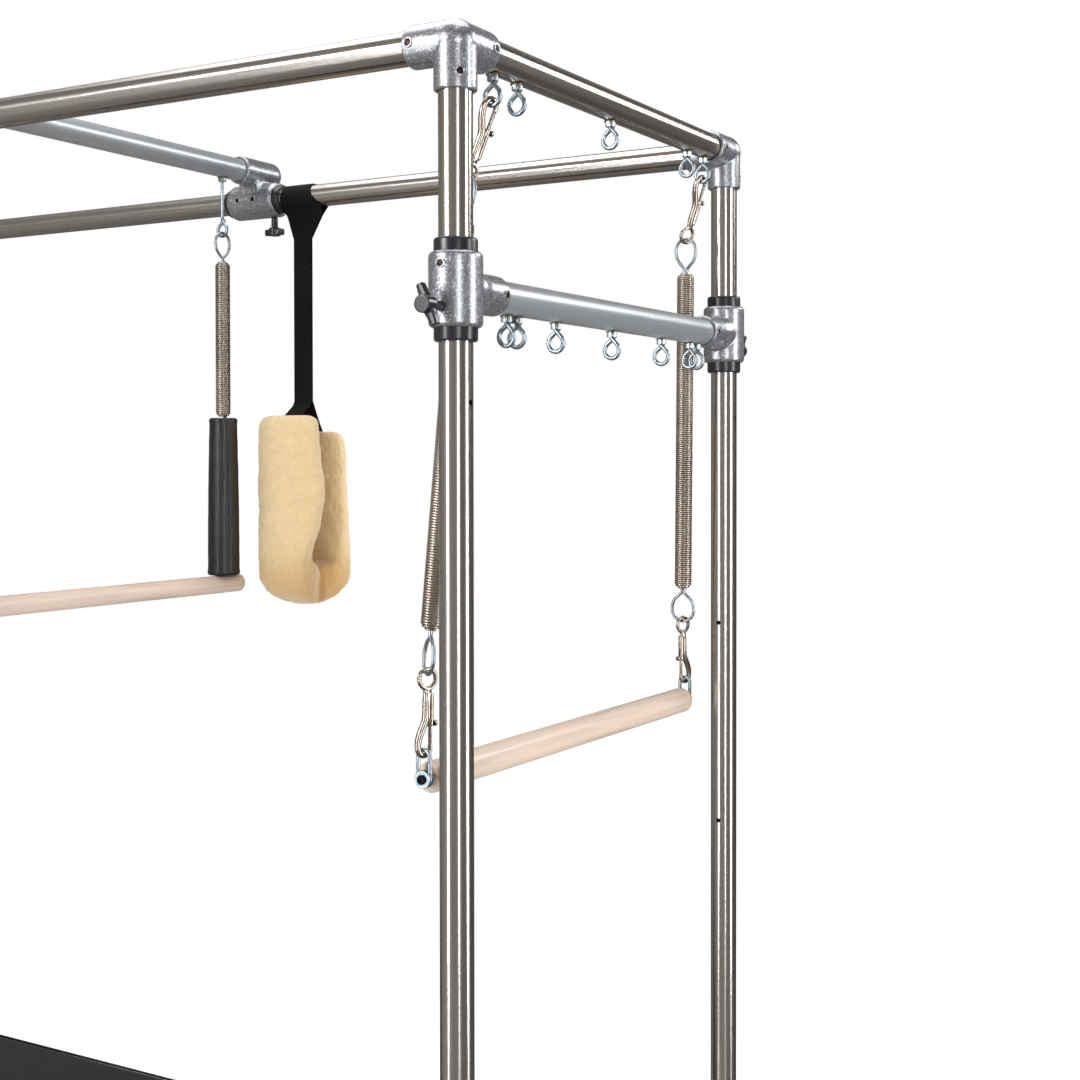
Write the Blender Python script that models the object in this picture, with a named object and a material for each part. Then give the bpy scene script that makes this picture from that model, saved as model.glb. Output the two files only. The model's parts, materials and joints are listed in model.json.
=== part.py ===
"""Pilates trapeze table: a beech table with a tall tube canopy, a height-adjustable crossbar,
a roll-down bar on two springs, a sliding trapeze and a fleece loop.

Metres, +Z up. X runs along the table, Y across it. The origin is on the floor under the middle.
The end with the crossbar is the right end, at +X. The front is at -Y.
"""
import math

import bmesh
import bpy
from mathutils import Matrix, Vector

# Fit clearances
GAP = 0.0003
LINK_GAP = 0.0010
HOLE_CLEAR = 0.0005

# Canopy tube and its reach
TUBE_R = 0.01905
TUBE_WALL = 0.002
SPAN_X = 2.18
SPAN_Y = 0.72
RAIL_Z = 2.155

# Cast corner fittings
CORNER_R = 0.024
CORNER_REACH = 0.056
CORNER_DROP = 0.054
CORNER_STOP = 0.022
CORNER_DOME_R = 0.0248

# Adjusting holes in the two right-hand uprights, below the top-rail axis
POST_HOLE_R = 0.0035
POST_HOLES_INNER = (0.695, 0.988)
POST_HOLE_OUTER = 0.392

# Beech table
LEG_SIZE = 0.08
TABLE_TOP_Z = 0.53
POST_SOCKET = 0.08
END_BOARD_T = 0.045
END_BOARD_H = 0.13
FOOT_RAIL_Z = 0.10
FOOT_RAIL_H = 0.07
DECK_T = 0.018
SIDE_BOARD_T = 0.035
SIDE_BOARD_H = 0.14
BOARD_INSET = 0.004

# Mat
MAT_T = 0.05
MAT_CROWN = 0.006
MAT_END_GAP = 0.040
MAT_SIDE_GAP = 0.010
MAT_ROUND = 0.018

# Crossbar and its sliding fittings
CROSSBAR_DROP = 0.2693
CROSSBAR_WALL = 0.003
TEE_R = 0.030
TEE_HALF = 0.0415
TEE_SHOULDER = 0.006
BUSH_R = 0.0243
BUSH_OVER = 0.0145
OUTLET_R = 0.023
OUTLET_REACH = 0.078
OUTLET_STOP = 0.030

# Eyebolts
EYE_WIRE_R = 0.00275
EYE_RING_R = 0.01075
EYE_DROP = 0.0435
EYE_NUT_R = 0.0072
EYE_NUT_H = 0.0065
EYE_WASHER_R = 0.0080
EYE_WASHER_H = 0.0013
EYE_SHANK_IN = 0.006
END_EYE_INSETS = (0.076, 0.129)
BAR_EYE_INSETS = (0.101, 0.124, 0.215)
BAR_EYES_SHIFT = 0.004

# Wing knobs that lock the fittings
KNOB_SCREW_R = 0.004
KNOB_NECK_R = 0.006
KNOB_HUB_R = 0.0098
KNOB_HUB_L = 0.018
KNOB_NECK_L = 0.018
KNOB_WING_SPAN = 0.049
KNOB_WING_W = 0.009
KNOB_WING_T = 0.010
KNOB_TILT = 23
KNOB_OFFSET = 0.020
SLIDER_KNOB_NECK_L = 0.018
SLIDER_KNOB_SPAN = 0.038
SLIDER_KNOB_T = 0.014
SLIDER_KNOB_OFFSET = 0.036

# Snap hooks, seen from the eye towards the hook
SNAP_EYE_R = 0.011
SNAP_EYE_WIRE_R = 0.0025
SNAP_WIRE_R = 0.00325
SNAP_HOOK_R = 0.008
SNAP_HOOK_U = -0.004
SNAP_HOOK_W = 0.07775
SNAP_STEM_U = -0.0026
SNAP_BARREL_R = 0.004
SNAP_BARREL_W0 = 0.0125
SNAP_BARREL_W1 = 0.058
SNAP_TIP_W = 0.0725
SNAP_SIDE_SHIFT = 0.0006
BOLT_R = 0.0022
BOLT_TRAVEL = 0.012
BOLT_KNOB_W = 0.050
BOLT_PEG_R = 0.0014
BOLT_KNOB_R = 0.0035
BOLT_KNOB_T = 0.004

# Springs with wire end loops
LOOP_WIRE_R = 0.00225
LOOP_R = 0.0175
LOOP_LENGTH = 0.048
COIL_R = 0.0127
COIL_WIRE_R = 0.0045
COIL_POINTS = 8
ROLL_SPRING_LENGTH = 0.564
ROLL_SPRING_TURNS = 15
TRAPEZE_COIL_LENGTH = 0.268
TRAPEZE_SPRING_TURNS = 8
STEM_LENGTH = 0.018

# Roll-down bar, its shackles and how the chain leans
ROLL_BAR_R = 0.018
ROLL_BAR_HALF = 0.332
ROLL_BAR_EDGE = 0.003
SHACKLE_STAND = 0.0105
TOP_LEAN_X = 0.0282
SHACKLE_WIRE_R = 0.0025
SHACKLE_HALF = 0.008
SHACKLE_LENGTH = 0.033
SHACKLE_HUB_R = 0.0085
AXLE_R = 0.003
AXLE_COLLAR_R = 0.006
AXLE_DEPTH = 0.025
AXLE_WASHER_R = 0.01035
AXLE_WASHER_T = 0.0015
AXLE_HEAD_R = 0.0055
AXLE_HEAD_H = 0.006
SNAP_TOP_TURN = math.radians(68)
SNAP_LOW_FRONT_TURN = math.radians(68)
SNAP_LOW_BACK_TURN = math.radians(-110)
LOOP_TOP_FRONT_TURN = math.radians(-22)
LOOP_TOP_BACK_TURN = math.radians(-10)
LOOP_LOW_FRONT_TURN = math.radians(-30)
LOOP_LOW_BACK_TURN = math.radians(0)

# Slider on the long rails
SLIDER_X = 0.200
SLIDER_HALF = 0.050
SLIDER_BUSH_OVER = 0.010
SLIDER_RISE = 0.048
SLIDER_SOCKET_IN = 0.053
SLIDER_SOCKET_OUT = 0.043
SLIDER_TUBE_OVER = 0.033
SLIDER_EYE_INSET = 0.094
SLIDER_EYE_DROP = 0.1095

# Trapeze bar and its sleeves
TRAPEZE_BAR_R = 0.015
TRAPEZE_BAR_OVER = 0.039
SLEEVE_TOP_R = 0.024
SLEEVE_LOW_R = 0.0275
SLEEVE_LENGTH = 0.269
SLEEVE_ROUND = 0.004
SLEEVE_BORE_R = 0.0042
SLEEVE_ROD_R = 0.004
SLEEVE_ROD_SHORT = 0.0015

# Webbing strap and fleece loop
STRAP_X = 0.299
STRAP_T = 0.0024
STRAP_PLY_GAP = 0.0008
STRAP_WIDTH = 0.038
STRAP_TOP_WIDTH = 0.066
STRAP_WRAP_WIDTH = 0.073
STRAP_TAPER_END = 0.072
STRAP_END = 0.352
FLEECE_HALF_W = 0.064
FLEECE_HALF_T = 0.021
FLEECE_BEND_R = 0.0405
FLEECE_TOP = 0.378
FLEECE_BACK_DROP = 0.027
FLEECE_BOTTOM = 0.705
FLEECE_ARM = ((0.0, 0.72), (0.006, 0.92), (0.022, 1.0), (0.09, 0.97), (0.17, 1.0))
FLEECE_POINTS = 12

# Facets round a tube, a casting and a wire
TUBE_SIDES = 16
SMALL_SIDES = 8

POST_X = SPAN_X / 2
POST_Y = SPAN_Y / 2
END_EYES = tuple(inset - POST_Y for inset in END_EYE_INSETS)
END_EYES += (0.0,) + tuple(-y for y in reversed(END_EYES))
BAR_EYES = tuple(inset - POST_Y for inset in BAR_EYE_INSETS)
BAR_EYES += (0.0,) + tuple(-y for y in reversed(BAR_EYES))
HANG_LOW_Y = ROLL_BAR_HALF + SHACKLE_STAND
SLIDER_EYE_Y = POST_Y - SLIDER_EYE_INSET
TRAPEZE_BAR_HALF = SLIDER_EYE_Y + TRAPEZE_BAR_OVER
SIDES = {"front": -1, "back": 1}
ENDS = {"right": 1, "left": -1}
PIVOTS = {}


def clear_scene():
    for old in list(bpy.data.objects):
        bpy.data.objects.remove(old, do_unlink=True)


def material(name, colour, roughness, metallic=0.0):
    mat = bpy.data.materials.new(name)
    mat.use_nodes = True
    shader = mat.node_tree.nodes["Principled BSDF"]
    shader.inputs["Base Color"].default_value = (*colour, 1.0)
    shader.inputs["Roughness"].default_value = roughness
    shader.inputs["Metallic"].default_value = metallic
    return mat


def pivot(name, at, parent=None):
    """An empty on a joint's axis, which the moving pieces are parented to."""
    empty = bpy.data.objects.new(name, None)
    bpy.context.collection.objects.link(empty)
    place = Vector(at)
    empty.parent = parent
    empty.location = place - PIVOTS[parent.name] if parent else place
    PIVOTS[name] = place
    return empty


def piece(name, mesh, mat, at=(0, 0, 0), turn=None, parent=None):
    """One sub-part: its own object and material, placed in the world by location and rotation."""
    obj = bpy.data.objects.new(name, mesh)
    bpy.context.collection.objects.link(obj)
    obj.parent = parent
    offset = PIVOTS[parent.name] if parent else Vector()
    spin = turn.to_4x4() if turn else Matrix.Identity(4)
    obj.matrix_basis = Matrix.Translation(Vector(at) - offset) @ spin
    mesh.materials.clear()
    mesh.materials.append(mat)
    return obj


def finish(bm, name, merge=1e-6):
    """Merge what coincides, face outwards and return the mesh with its creases kept sharp."""
    bmesh.ops.remove_doubles(bm, verts=bm.verts, dist=merge)
    bmesh.ops.recalc_face_normals(bm, faces=bm.faces)
    mesh = bpy.data.meshes.new(name)
    bm.to_mesh(mesh)
    bm.free()
    mesh.shade_smooth()
    mesh.set_sharp_from_angle(angle=math.radians(35))
    return mesh


def lathe(profile, sides, name="turned", hollow=False):
    """Spin a profile of (radius, height) about Z. A hollow profile closes on itself."""
    bm = bmesh.new()
    verts = [bm.verts.new((radius, 0, height)) for radius, height in profile]
    edges = [bm.edges.new(pair) for pair in zip(verts, verts[1:])]
    if hollow:
        edges.append(bm.edges.new((verts[-1], verts[0])))
    bmesh.ops.spin(bm, geom=verts + edges, cent=(0, 0, 0), axis=(0, 0, 1), angle=2 * math.pi,
                   steps=sides, use_merge=True)
    return finish(bm, name)


def rod(radius, low, high, sides=SMALL_SIDES):
    return lathe([(0, low), (radius, low), (radius, high), (0, high)], sides, "rod")


def pipe(outer, inner, low, high, sides=TUBE_SIDES):
    profile = [(outer, low), (outer, high), (inner, high), (inner, low)]
    return lathe(profile, sides, "pipe", hollow=True)


def block(low, high):
    """A box between two corners."""
    bm = bmesh.new()
    bmesh.ops.create_cube(bm, size=1)
    size = Vector(high) - Vector(low)
    middle = (Vector(high) + Vector(low)) / 2
    bmesh.ops.scale(bm, verts=bm.verts, vec=size)
    bmesh.ops.translate(bm, verts=bm.verts, vec=middle)
    return finish(bm, "block")


def wire(points, radius, closed=False, swell=None, name="wire"):
    """A round wire along points, as a bevelled curve with filled ends, turned into a mesh."""
    curve = bpy.data.curves.new(name, "CURVE")
    curve.dimensions = "3D"
    curve.bevel_depth = radius
    curve.bevel_resolution = 1
    curve.use_fill_caps = not closed
    spline = curve.splines.new("POLY")
    spline.points.add(len(points) - 1)
    for index, place in enumerate(points):
        spline.points[index].co = (*place, 1)
        spline.points[index].radius = swell[index] if swell else 1.0
    spline.use_cyclic_u = closed
    holder = bpy.data.objects.new(name, curve)
    bpy.context.collection.objects.link(holder)
    mesh = evaluated(holder)
    bpy.data.objects.remove(holder, do_unlink=True)
    bm = bmesh.new()
    bm.from_mesh(mesh)
    return finish(bm, name)


def evaluated(obj):
    graph = bpy.context.evaluated_depsgraph_get()
    graph.update()
    return bpy.data.meshes.new_from_object(obj.evaluated_get(graph))


def loft(rings, name):
    """Skin rings of equal counts into one closed body, with a flat face at each end."""
    bm = bmesh.new()
    loops = [[bm.verts.new(place) for place in ring] for ring in rings]
    count = len(rings[0])
    for first, second in zip(loops, loops[1:]):
        for index in range(count):
            after = (index + 1) % count
            bm.faces.new((first[index], first[after], second[after], second[index]))
    bm.faces.new(loops[0])
    bm.faces.new(loops[-1])
    return finish(bm, name)


def moved(mesh, at=(0, 0, 0), turn=None):
    """A copy of a mesh, turned and then shifted."""
    copy = mesh.copy()
    spin = turn.to_4x4() if turn else Matrix.Identity(4)
    copy.transform(Matrix.Translation(Vector(at)) @ spin)
    return copy


def about(axis, degrees):
    return Matrix.Rotation(math.radians(degrees), 3, axis)


def shaped(solids, cuts=(), name="shaped"):
    """Join solids and cut others out of them with exact Booleans."""
    holders = []
    for mesh in list(solids) + list(cuts):
        holder = bpy.data.objects.new("holder", mesh)
        bpy.context.collection.objects.link(holder)
        holders.append(holder)
    base = holders[0]
    for index, tool in enumerate(holders[1:], start=1):
        step = base.modifiers.new("step", "BOOLEAN")
        step.object = tool
        step.solver = "EXACT"
        step.operation = "UNION" if index < len(solids) else "DIFFERENCE"
    mesh = evaluated(base)
    for holder in holders:
        bpy.data.objects.remove(holder, do_unlink=True)
    bm = bmesh.new()
    bm.from_mesh(mesh)
    bmesh.ops.dissolve_degenerate(bm, dist=1e-6, edges=bm.edges)
    bmesh.ops.triangulate(bm, faces=[face for face in bm.faces if len(face.verts) > 4])
    return finish(bm, name)


def ring_points(radius, count, centre=(0, 0, 0)):
    """Points round a circle in the XZ plane."""
    angles = [2 * math.pi * index / count for index in range(count)]
    return [Vector(centre) + Vector((radius * math.cos(a), 0, radius * math.sin(a))) for a in angles]


STEEL = material("brushed_stainless", (0.42, 0.39, 0.36), 0.28, 1.0)
CAST = material("polished_cast_aluminium", (0.56, 0.57, 0.59), 0.25, 1.0)
ANODISED = material("satin_anodised_aluminium", (0.60, 0.61, 0.63), 0.38, 1.0)
BLACK = material("black_moulded_nylon", (0.035, 0.035, 0.04), 0.42)
ZINC = material("bright_zinc", (0.62, 0.68, 0.72), 0.22, 1.0)
NICKEL = material("nickel_plate", (0.55, 0.50, 0.44), 0.18, 1.0)
SPRING_STEEL = material("plated_spring_steel", (0.45, 0.42, 0.38), 0.3, 1.0)
BEECH = material("oiled_beech", (0.80, 0.62, 0.46), 0.5)
VINYL = material("black_vinyl", (0.02, 0.02, 0.022), 0.45)
WEBBING = material("black_webbing", (0.02, 0.02, 0.023), 0.8)
FLEECE = material("cream_sheepskin", (0.80, 0.62, 0.38), 0.95)


def eye_shape(drop=EYE_DROP):
    """An eyebolt with its nut and washer, hung from a tube whose axis passes through the origin."""
    ring = wire(ring_points(EYE_RING_R, 10, (0, 0, -drop)), EYE_WIRE_R, closed=True)
    washer_top = -TUBE_R - GAP
    nut_top = washer_top - EYE_WASHER_H
    nut_low = nut_top - EYE_NUT_H
    top = -TUBE_R + TUBE_WALL + EYE_SHANK_IN
    nut = [(0, nut_low), (EYE_NUT_R, nut_low), (EYE_NUT_R, nut_top), (EYE_WASHER_R, nut_top),
           (EYE_WASHER_R, washer_top), (0, washer_top)]
    shank = rod(EYE_WIRE_R, -drop + EYE_RING_R, top, 6)
    return shaped([lathe(nut, 6, "nut"), shank, ring], name="eyebolt")


def eye_hole():
    return rod(EYE_WIRE_R + HOLE_CLEAR, -TUBE_R - 0.002, -TUBE_R + 2 * TUBE_WALL, 6)


def build_canopy():
    """Four uprights, two long rails and two end rails in four cast corners."""
    top = RAIL_Z - CORNER_STOP - GAP
    foot = TABLE_TOP_Z - POST_SOCKET + GAP
    for end, sx in ENDS.items():
        for side, sy in SIDES.items():
            mesh = pipe(TUBE_R, TUBE_R - TUBE_WALL, foot, top)
            if end == "right":
                drill = rod(POST_HOLE_R, 0, 2 * TUBE_R)
                cuts = [moved(drill, (0, 0, RAIL_Z - low), about("X", 90 * sy)) for low in POST_HOLES_INNER]
                cuts.append(moved(drill, (0, 0, RAIL_Z - POST_HOLE_OUTER), about("Y", 90)))
                mesh = shaped([mesh], cuts, "upright")
            piece(f"upright_{side}_{end}", mesh, STEEL, (sx * POST_X, sy * POST_Y, 0))
    for side, sy in SIDES.items():
        reach = POST_X - CORNER_STOP - GAP
        mesh = moved(pipe(TUBE_R, TUBE_R - TUBE_WALL, -reach, reach), turn=about("Y", 90))
        piece(f"top_rail_{side}", mesh, STEEL, (0, sy * POST_Y, RAIL_Z))
    for end, sx in ENDS.items():
        reach = POST_Y - CORNER_STOP - GAP
        mesh = moved(pipe(TUBE_R, TUBE_R - TUBE_WALL, -reach, reach), turn=about("X", 90))
        if end == "right":
            mesh = shaped([mesh], [moved(eye_hole(), (0, y, 0)) for y in END_EYES], "end_rail")
        piece(f"end_rail_{end}", mesh, STEEL, (sx * POST_X, 0, RAIL_Z))
    turns = {("left", "front"): 0, ("right", "front"): 90, ("right", "back"): 180, ("left", "back"): -90}
    casting = corner_shape()
    for (end, side), degrees in turns.items():
        place = (ENDS[end] * POST_X, SIDES[side] * POST_Y, RAIL_Z)
        piece(f"corner_{side}_{end}", casting.copy(), CAST, place, about("Z", degrees))
    eyebolt = eye_shape()
    for number, y in enumerate(END_EYES, start=1):
        piece(f"end_eyebolt_{number}", eyebolt.copy(), ZINC, (POST_X, y, RAIL_Z))


def dome(radius):
    """A ball, for the round outside of a corner or a blind socket."""
    steps = 6
    profile = [(radius * math.sin(math.pi * k / steps), radius * math.cos(math.pi * k / steps))
               for k in range(steps + 1)]
    profile[0] = (0, radius)
    profile[-1] = (0, -radius)
    return lathe(profile, TUBE_SIDES, "dome")


def corner_shape():
    """A three-way casting with sockets along +X, +Y and -Z."""
    to_x, to_y, to_low = about("Y", 90), about("X", -90), about("X", 180)
    arm = rod(CORNER_R, 0, CORNER_REACH, TUBE_SIDES)
    drop = rod(CORNER_R, 0, CORNER_DROP, TUBE_SIDES)
    ball = moved(dome(CORNER_DOME_R), turn=about("Z", 11.25))
    solids = [ball, moved(arm, turn=to_x), moved(arm, turn=to_y), moved(drop, turn=to_low)]
    bore = rod(TUBE_R + GAP, CORNER_STOP, CORNER_REACH + 0.01, TUBE_SIDES)
    cuts = [moved(bore, turn=turn) for turn in (to_x, to_y, to_low)]
    return shaped(solids, cuts, "corner")


def build_table():
    """Two beech end frames, the bed between them and the mat."""
    half = LEG_SIZE / 2
    outer_y = POST_Y + half
    inner_x = POST_X - half
    for end, sx in ENDS.items():
        solids = []
        for sy in SIDES.values():
            low = (sx * POST_X - half, sy * POST_Y - half, 0)
            high = (sx * POST_X + half, sy * POST_Y + half, TABLE_TOP_Z)
            solids.append(block(low, high))
        board_x = sorted((sx * (inner_x + BOARD_INSET), sx * (inner_x + BOARD_INSET + END_BOARD_T)))
        low = (board_x[0], -POST_Y, TABLE_TOP_Z - END_BOARD_H)
        solids.append(block(low, (board_x[1], POST_Y, TABLE_TOP_Z - BOARD_INSET)))
        high = (board_x[1], POST_Y, FOOT_RAIL_Z + FOOT_RAIL_H)
        solids.append(block((board_x[0], -POST_Y, FOOT_RAIL_Z), high))
        bore = rod(TUBE_R + GAP, TABLE_TOP_Z - POST_SOCKET, TABLE_TOP_Z + 0.01, TUBE_SIDES)
        cuts = [moved(bore, (sx * POST_X, sy * POST_Y, 0)) for sy in SIDES.values()]
        piece(f"base_end_{end}", shaped(solids, cuts, "base_end"), BEECH)
    reach = inner_x - GAP
    deck_low = TABLE_TOP_Z - DECK_T
    solids = [block((-reach, -outer_y, deck_low), (reach, outer_y, TABLE_TOP_Z))]
    for sy in SIDES.values():
        board_y = sorted((sy * outer_y, sy * (outer_y - SIDE_BOARD_T)))
        low = (-reach, board_y[0], deck_low - SIDE_BOARD_H)
        solids.append(block(low, (reach, board_y[1], deck_low + 0.001)))
    piece("bed_frame", shaped(solids, name="bed_frame"), BEECH)
    piece("mat", mat_shape(), VINYL)


def mat_shape():
    """A long cushion with a crown, round edges and sides drawn in between the corners."""
    half_x = POST_X - TUBE_R - MAT_END_GAP
    half_y = POST_Y - TUBE_R - MAT_SIDE_GAP
    base = TABLE_TOP_Z + GAP
    rings = []
    for share, height in ((0.86, 0.0), (0.965, 0.12), (1.0, 0.42), (0.985, 0.78), (0.93, 0.95)):
        ring = mat_ring(half_x, half_y, share)
        rings.append([(x, y, base + MAT_T * height) for x, y in ring])
    inner = mat_ring(half_x, half_y, 0.5)
    rings.append([(x, y, base + MAT_T + MAT_CROWN) for x, y in inner])
    return loft(rings, "mat")


def mat_ring(half_x, half_y, share):
    """A round-cornered outline, inset at the edge by what share leaves off the mat's thickness."""
    inset = (1 - share) * MAT_T * 1.6 if share > 0.6 else half_y * 0.45
    reach_x, reach_y = half_x - inset, half_y - inset
    draw = 0.004
    points = []
    for corner in range(4):
        angle = math.pi / 2 * corner
        sx, sy = (1, 1, -1, -1)[corner] * 1.0, (-1, 1, 1, -1)[corner] * 1.0
        centre = (sx * (reach_x - MAT_ROUND), sy * (reach_y - MAT_ROUND))
        for step in range(4):
            turn = angle - math.pi / 2 + math.pi / 2 * step / 3
            points.append((centre[0] + MAT_ROUND * math.cos(turn), centre[1] + MAT_ROUND * math.sin(turn)))
        if corner % 2 == 0:
            points.append((sx * (reach_x - draw), 0.0))
        else:
            points.append((0.0, sy * (reach_y - draw)))
    return points


def knob_shape(neck_length=KNOB_NECK_L, hub_length=KNOB_HUB_L, span=KNOB_WING_SPAN, wing_t=KNOB_WING_T):
    """A wing knob whose screw tip is at the origin and whose hub looks up +Z. Its wings lie along X."""
    neck = TEE_R - TUBE_R
    hub = neck + neck_length
    face = hub + hub_length
    profile = [(0, 0), (KNOB_SCREW_R, 0), (KNOB_SCREW_R, neck), (KNOB_NECK_R, neck), (KNOB_NECK_R, hub),
               (KNOB_HUB_R, hub), (KNOB_HUB_R, face), (0, face)]
    half, wide = span / 2, KNOB_WING_W / 2
    wing = block((-half, -wide, hub + GAP), (half, wide, hub + wing_t))
    return shaped([lathe(profile, SMALL_SIDES, "hub"), wing], name="knob")


def barrel_shape(half):
    """The body of a sliding fitting, along Z, with chamfered shoulders."""
    mouth = BUSH_R + 0.002
    profile = [(0, -half), (mouth, -half), (TEE_R, -half + TEE_SHOULDER), (TEE_R, half - TEE_SHOULDER),
               (mouth, half), (0, half)]
    return lathe(profile, TUBE_SIDES, "barrel")


def tee_shape():
    """A tee casting on an upright, with its socket along +Y and its knob on -Y."""
    arm = moved(rod(OUTLET_R, 0, OUTLET_REACH, TUBE_SIDES), turn=about("X", -90))
    solids = [barrel_shape(TEE_HALF), arm]
    bore = rod(BUSH_R + GAP, -TEE_HALF - 0.01, TEE_HALF + 0.01, TUBE_SIDES)
    blind = moved(rod(TUBE_R + GAP, OUTLET_STOP, OUTLET_REACH + 0.01, TUBE_SIDES), turn=about("X", -90))
    tap = moved(knob_hole(), (0, 0, -KNOB_OFFSET), about("X", 90))
    return shaped(solids, [bore, blind, tap], "tee")


def knob_hole():
    return rod(KNOB_SCREW_R + HOLE_CLEAR, TUBE_R - 0.004, TEE_R + 0.004)


def bush_shape():
    """The plastic sleeve between a tee and its upright, with the knob's hole in its side."""
    reach = TEE_HALF + BUSH_OVER
    sleeve = pipe(BUSH_R, TUBE_R + GAP, -reach, reach)
    return shaped([sleeve], [moved(knob_hole(), (0, 0, -KNOB_OFFSET), about("X", 90))], "bush")


def build_crossbar():
    """The crossbar with its tees, sleeves, knobs and eyebolts, which slides on the uprights."""
    height = RAIL_Z - CROSSBAR_DROP
    carriage = pivot("crossbar_carriage", (POST_X, 0, height))
    reach = POST_Y - OUTLET_STOP - GAP
    tube = moved(pipe(TUBE_R, TUBE_R - CROSSBAR_WALL, -reach, reach), turn=about("X", 90))
    places = [y + BAR_EYES_SHIFT for y in BAR_EYES]
    tube = shaped([tube], [moved(eye_hole(), (0, y, 0)) for y in places], "crossbar")
    piece("crossbar_tube", tube, ANODISED, (POST_X, 0, height), parent=carriage)
    tee, bush, knob, eyebolt = tee_shape(), bush_shape(), knob_shape(), eye_shape()
    for side, sy in SIDES.items():
        face = about("Z", 0 if sy < 0 else 180)
        at = (POST_X, sy * POST_Y, height)
        piece(f"crossbar_tee_{side}", tee.copy(), CAST, at, face, carriage)
        piece(f"crossbar_bush_{side}", bush.copy(), BLACK, at, face, carriage)
        tip = (POST_X, sy * (POST_Y + TUBE_R + GAP), height - KNOB_OFFSET)
        axis = pivot(f"crossbar_knob_axis_{side}", tip, carriage)
        pointing = face @ about("X", 90) @ about("Z", 90 + KNOB_TILT)
        piece(f"crossbar_knob_{side}", knob.copy(), BLACK, tip, pointing, axis)
    for number, y in enumerate(places, start=1):
        piece(f"crossbar_eyebolt_{number}", eyebolt.copy(), ZINC, (POST_X, y, height), parent=carriage)


def snap_shape():
    """A snap hook with its eye at the origin and its hook towards -Z, in the XZ plane."""
    eye = wire(ring_points(SNAP_EYE_R, 10), SNAP_EYE_WIRE_R, closed=True)
    left = SNAP_HOOK_U - SNAP_HOOK_R
    right = SNAP_HOOK_U + SNAP_HOOK_R
    route = [(SNAP_STEM_U, SNAP_EYE_R + 0.0005), (SNAP_STEM_U, 0.044), (left * 0.68, 0.056),
             (left, 0.067), (left, SNAP_HOOK_W)]
    for step in range(1, 5):
        angle = math.pi * step / 5
        u = SNAP_HOOK_U - SNAP_HOOK_R * math.cos(angle)
        route.append((u, SNAP_HOOK_W + SNAP_HOOK_R * math.sin(angle)))
    route += [(right, SNAP_HOOK_W), (right, SNAP_TIP_W)]
    hook = wire([Vector((u, 0, -w)) for u, w in route], SNAP_WIRE_R)
    barrel = moved(rod(SNAP_BARREL_R, -SNAP_BARREL_W1, -SNAP_BARREL_W0), (right, 0, 0))
    bore_low = BOLT_KNOB_W - BOLT_TRAVEL - 0.0045
    bore = moved(rod(BOLT_R + GAP, -SNAP_BARREL_W1 - 0.002, -bore_low, 6), (right, 0, 0))
    slot_half = BOLT_PEG_R + GAP
    slot_low = (right, -slot_half, -(BOLT_KNOB_W + BOLT_PEG_R + GAP))
    slot_high = (right + 2 * SNAP_BARREL_R, slot_half, -(BOLT_KNOB_W - BOLT_TRAVEL - BOLT_PEG_R - GAP))
    return shaped([eye, hook, barrel], [bore, block(slot_low, slot_high)], "snap")


def snap_bolt_shape():
    """The spring bolt of a snap hook and its thumb knob, in the hook's own frame."""
    right = SNAP_HOOK_U + SNAP_HOOK_R
    pin = moved(rod(BOLT_R, -(SNAP_TIP_W - GAP), -(BOLT_KNOB_W - 0.004), 6), (right, 0, 0))
    start = SNAP_BARREL_R + GAP
    peg = rod(BOLT_PEG_R, 0, start + BOLT_KNOB_T * 0.5, 6)
    cap = rod(BOLT_KNOB_R, start, start + BOLT_KNOB_T)
    to_side = about("Y", 90)
    at = (right, 0, -BOLT_KNOB_W)
    return shaped([pin, moved(peg, at, to_side), moved(cap, at, to_side)], name="snap_bolt")


def snap_frame(eye, apex, turn):
    """The rotation that puts a snap's eye-to-hook line on eye-to-apex, with its flat along turn."""
    local = Vector((SNAP_HOOK_U, 0, -(SNAP_HOOK_W + SNAP_HOOK_R))).normalized()
    to = basis(apex - eye, Vector((math.cos(turn), math.sin(turn), 0)))
    return to @ basis(local, Vector((1, 0, 0))).transposed()


def basis(along, flat):
    """Three unit axes: the third against along, the first as near flat as it can be."""
    third = -along.normalized()
    first = (flat - third * flat.dot(third)).normalized()
    second = third.cross(first)
    return Matrix((first, second, third)).transposed()


def snap_reach():
    return math.hypot(SNAP_HOOK_U, SNAP_HOOK_W + SNAP_HOOK_R)


def spring_route(length, turns, top_turn, low_turn=None):
    """Points and thicknesses of one unbroken wire: a loop, a coil and a loop or a straight stem.

    The top loop's crown is at the origin and the wire runs down to -length.
    """
    thin = LOOP_WIRE_R / COIL_WIRE_R
    top = loop_route(top_turn)
    points = [Vector((x, y, -w)) for x, y, w in top]
    swell = [thin] * len(points)
    foot = LOOP_LENGTH if low_turn is not None else STEM_LENGTH
    coil_top, coil_low = LOOP_LENGTH + COIL_WIRE_R, length - foot - COIL_WIRE_R
    radius = COIL_R - COIL_WIRE_R
    steps = turns * COIL_POINTS
    for step in range(steps + 1):
        share = step / steps
        angle = 2 * math.pi * turns * share
        grow = min(1.0, (step + 3) / 8, (steps - step + 3) / 8)
        depth = coil_top + (coil_low - coil_top) * share
        points.append(Vector((radius * grow * math.cos(angle), radius * grow * math.sin(angle), -depth)))
        swell.append(max(thin, min(1.0, (step + 3) / 6, (steps - step + 3) / 6)))
    if low_turn is None:
        low = [(0.0, 0.0, STEM_LENGTH * 0.6), (0.0, 0.0, 0.0)]
    else:
        low = list(reversed(loop_route(low_turn)))
    points += [Vector((x, y, w - length)) for x, y, w in low]
    swell += [thin] * len(low)
    return points, swell


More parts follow.
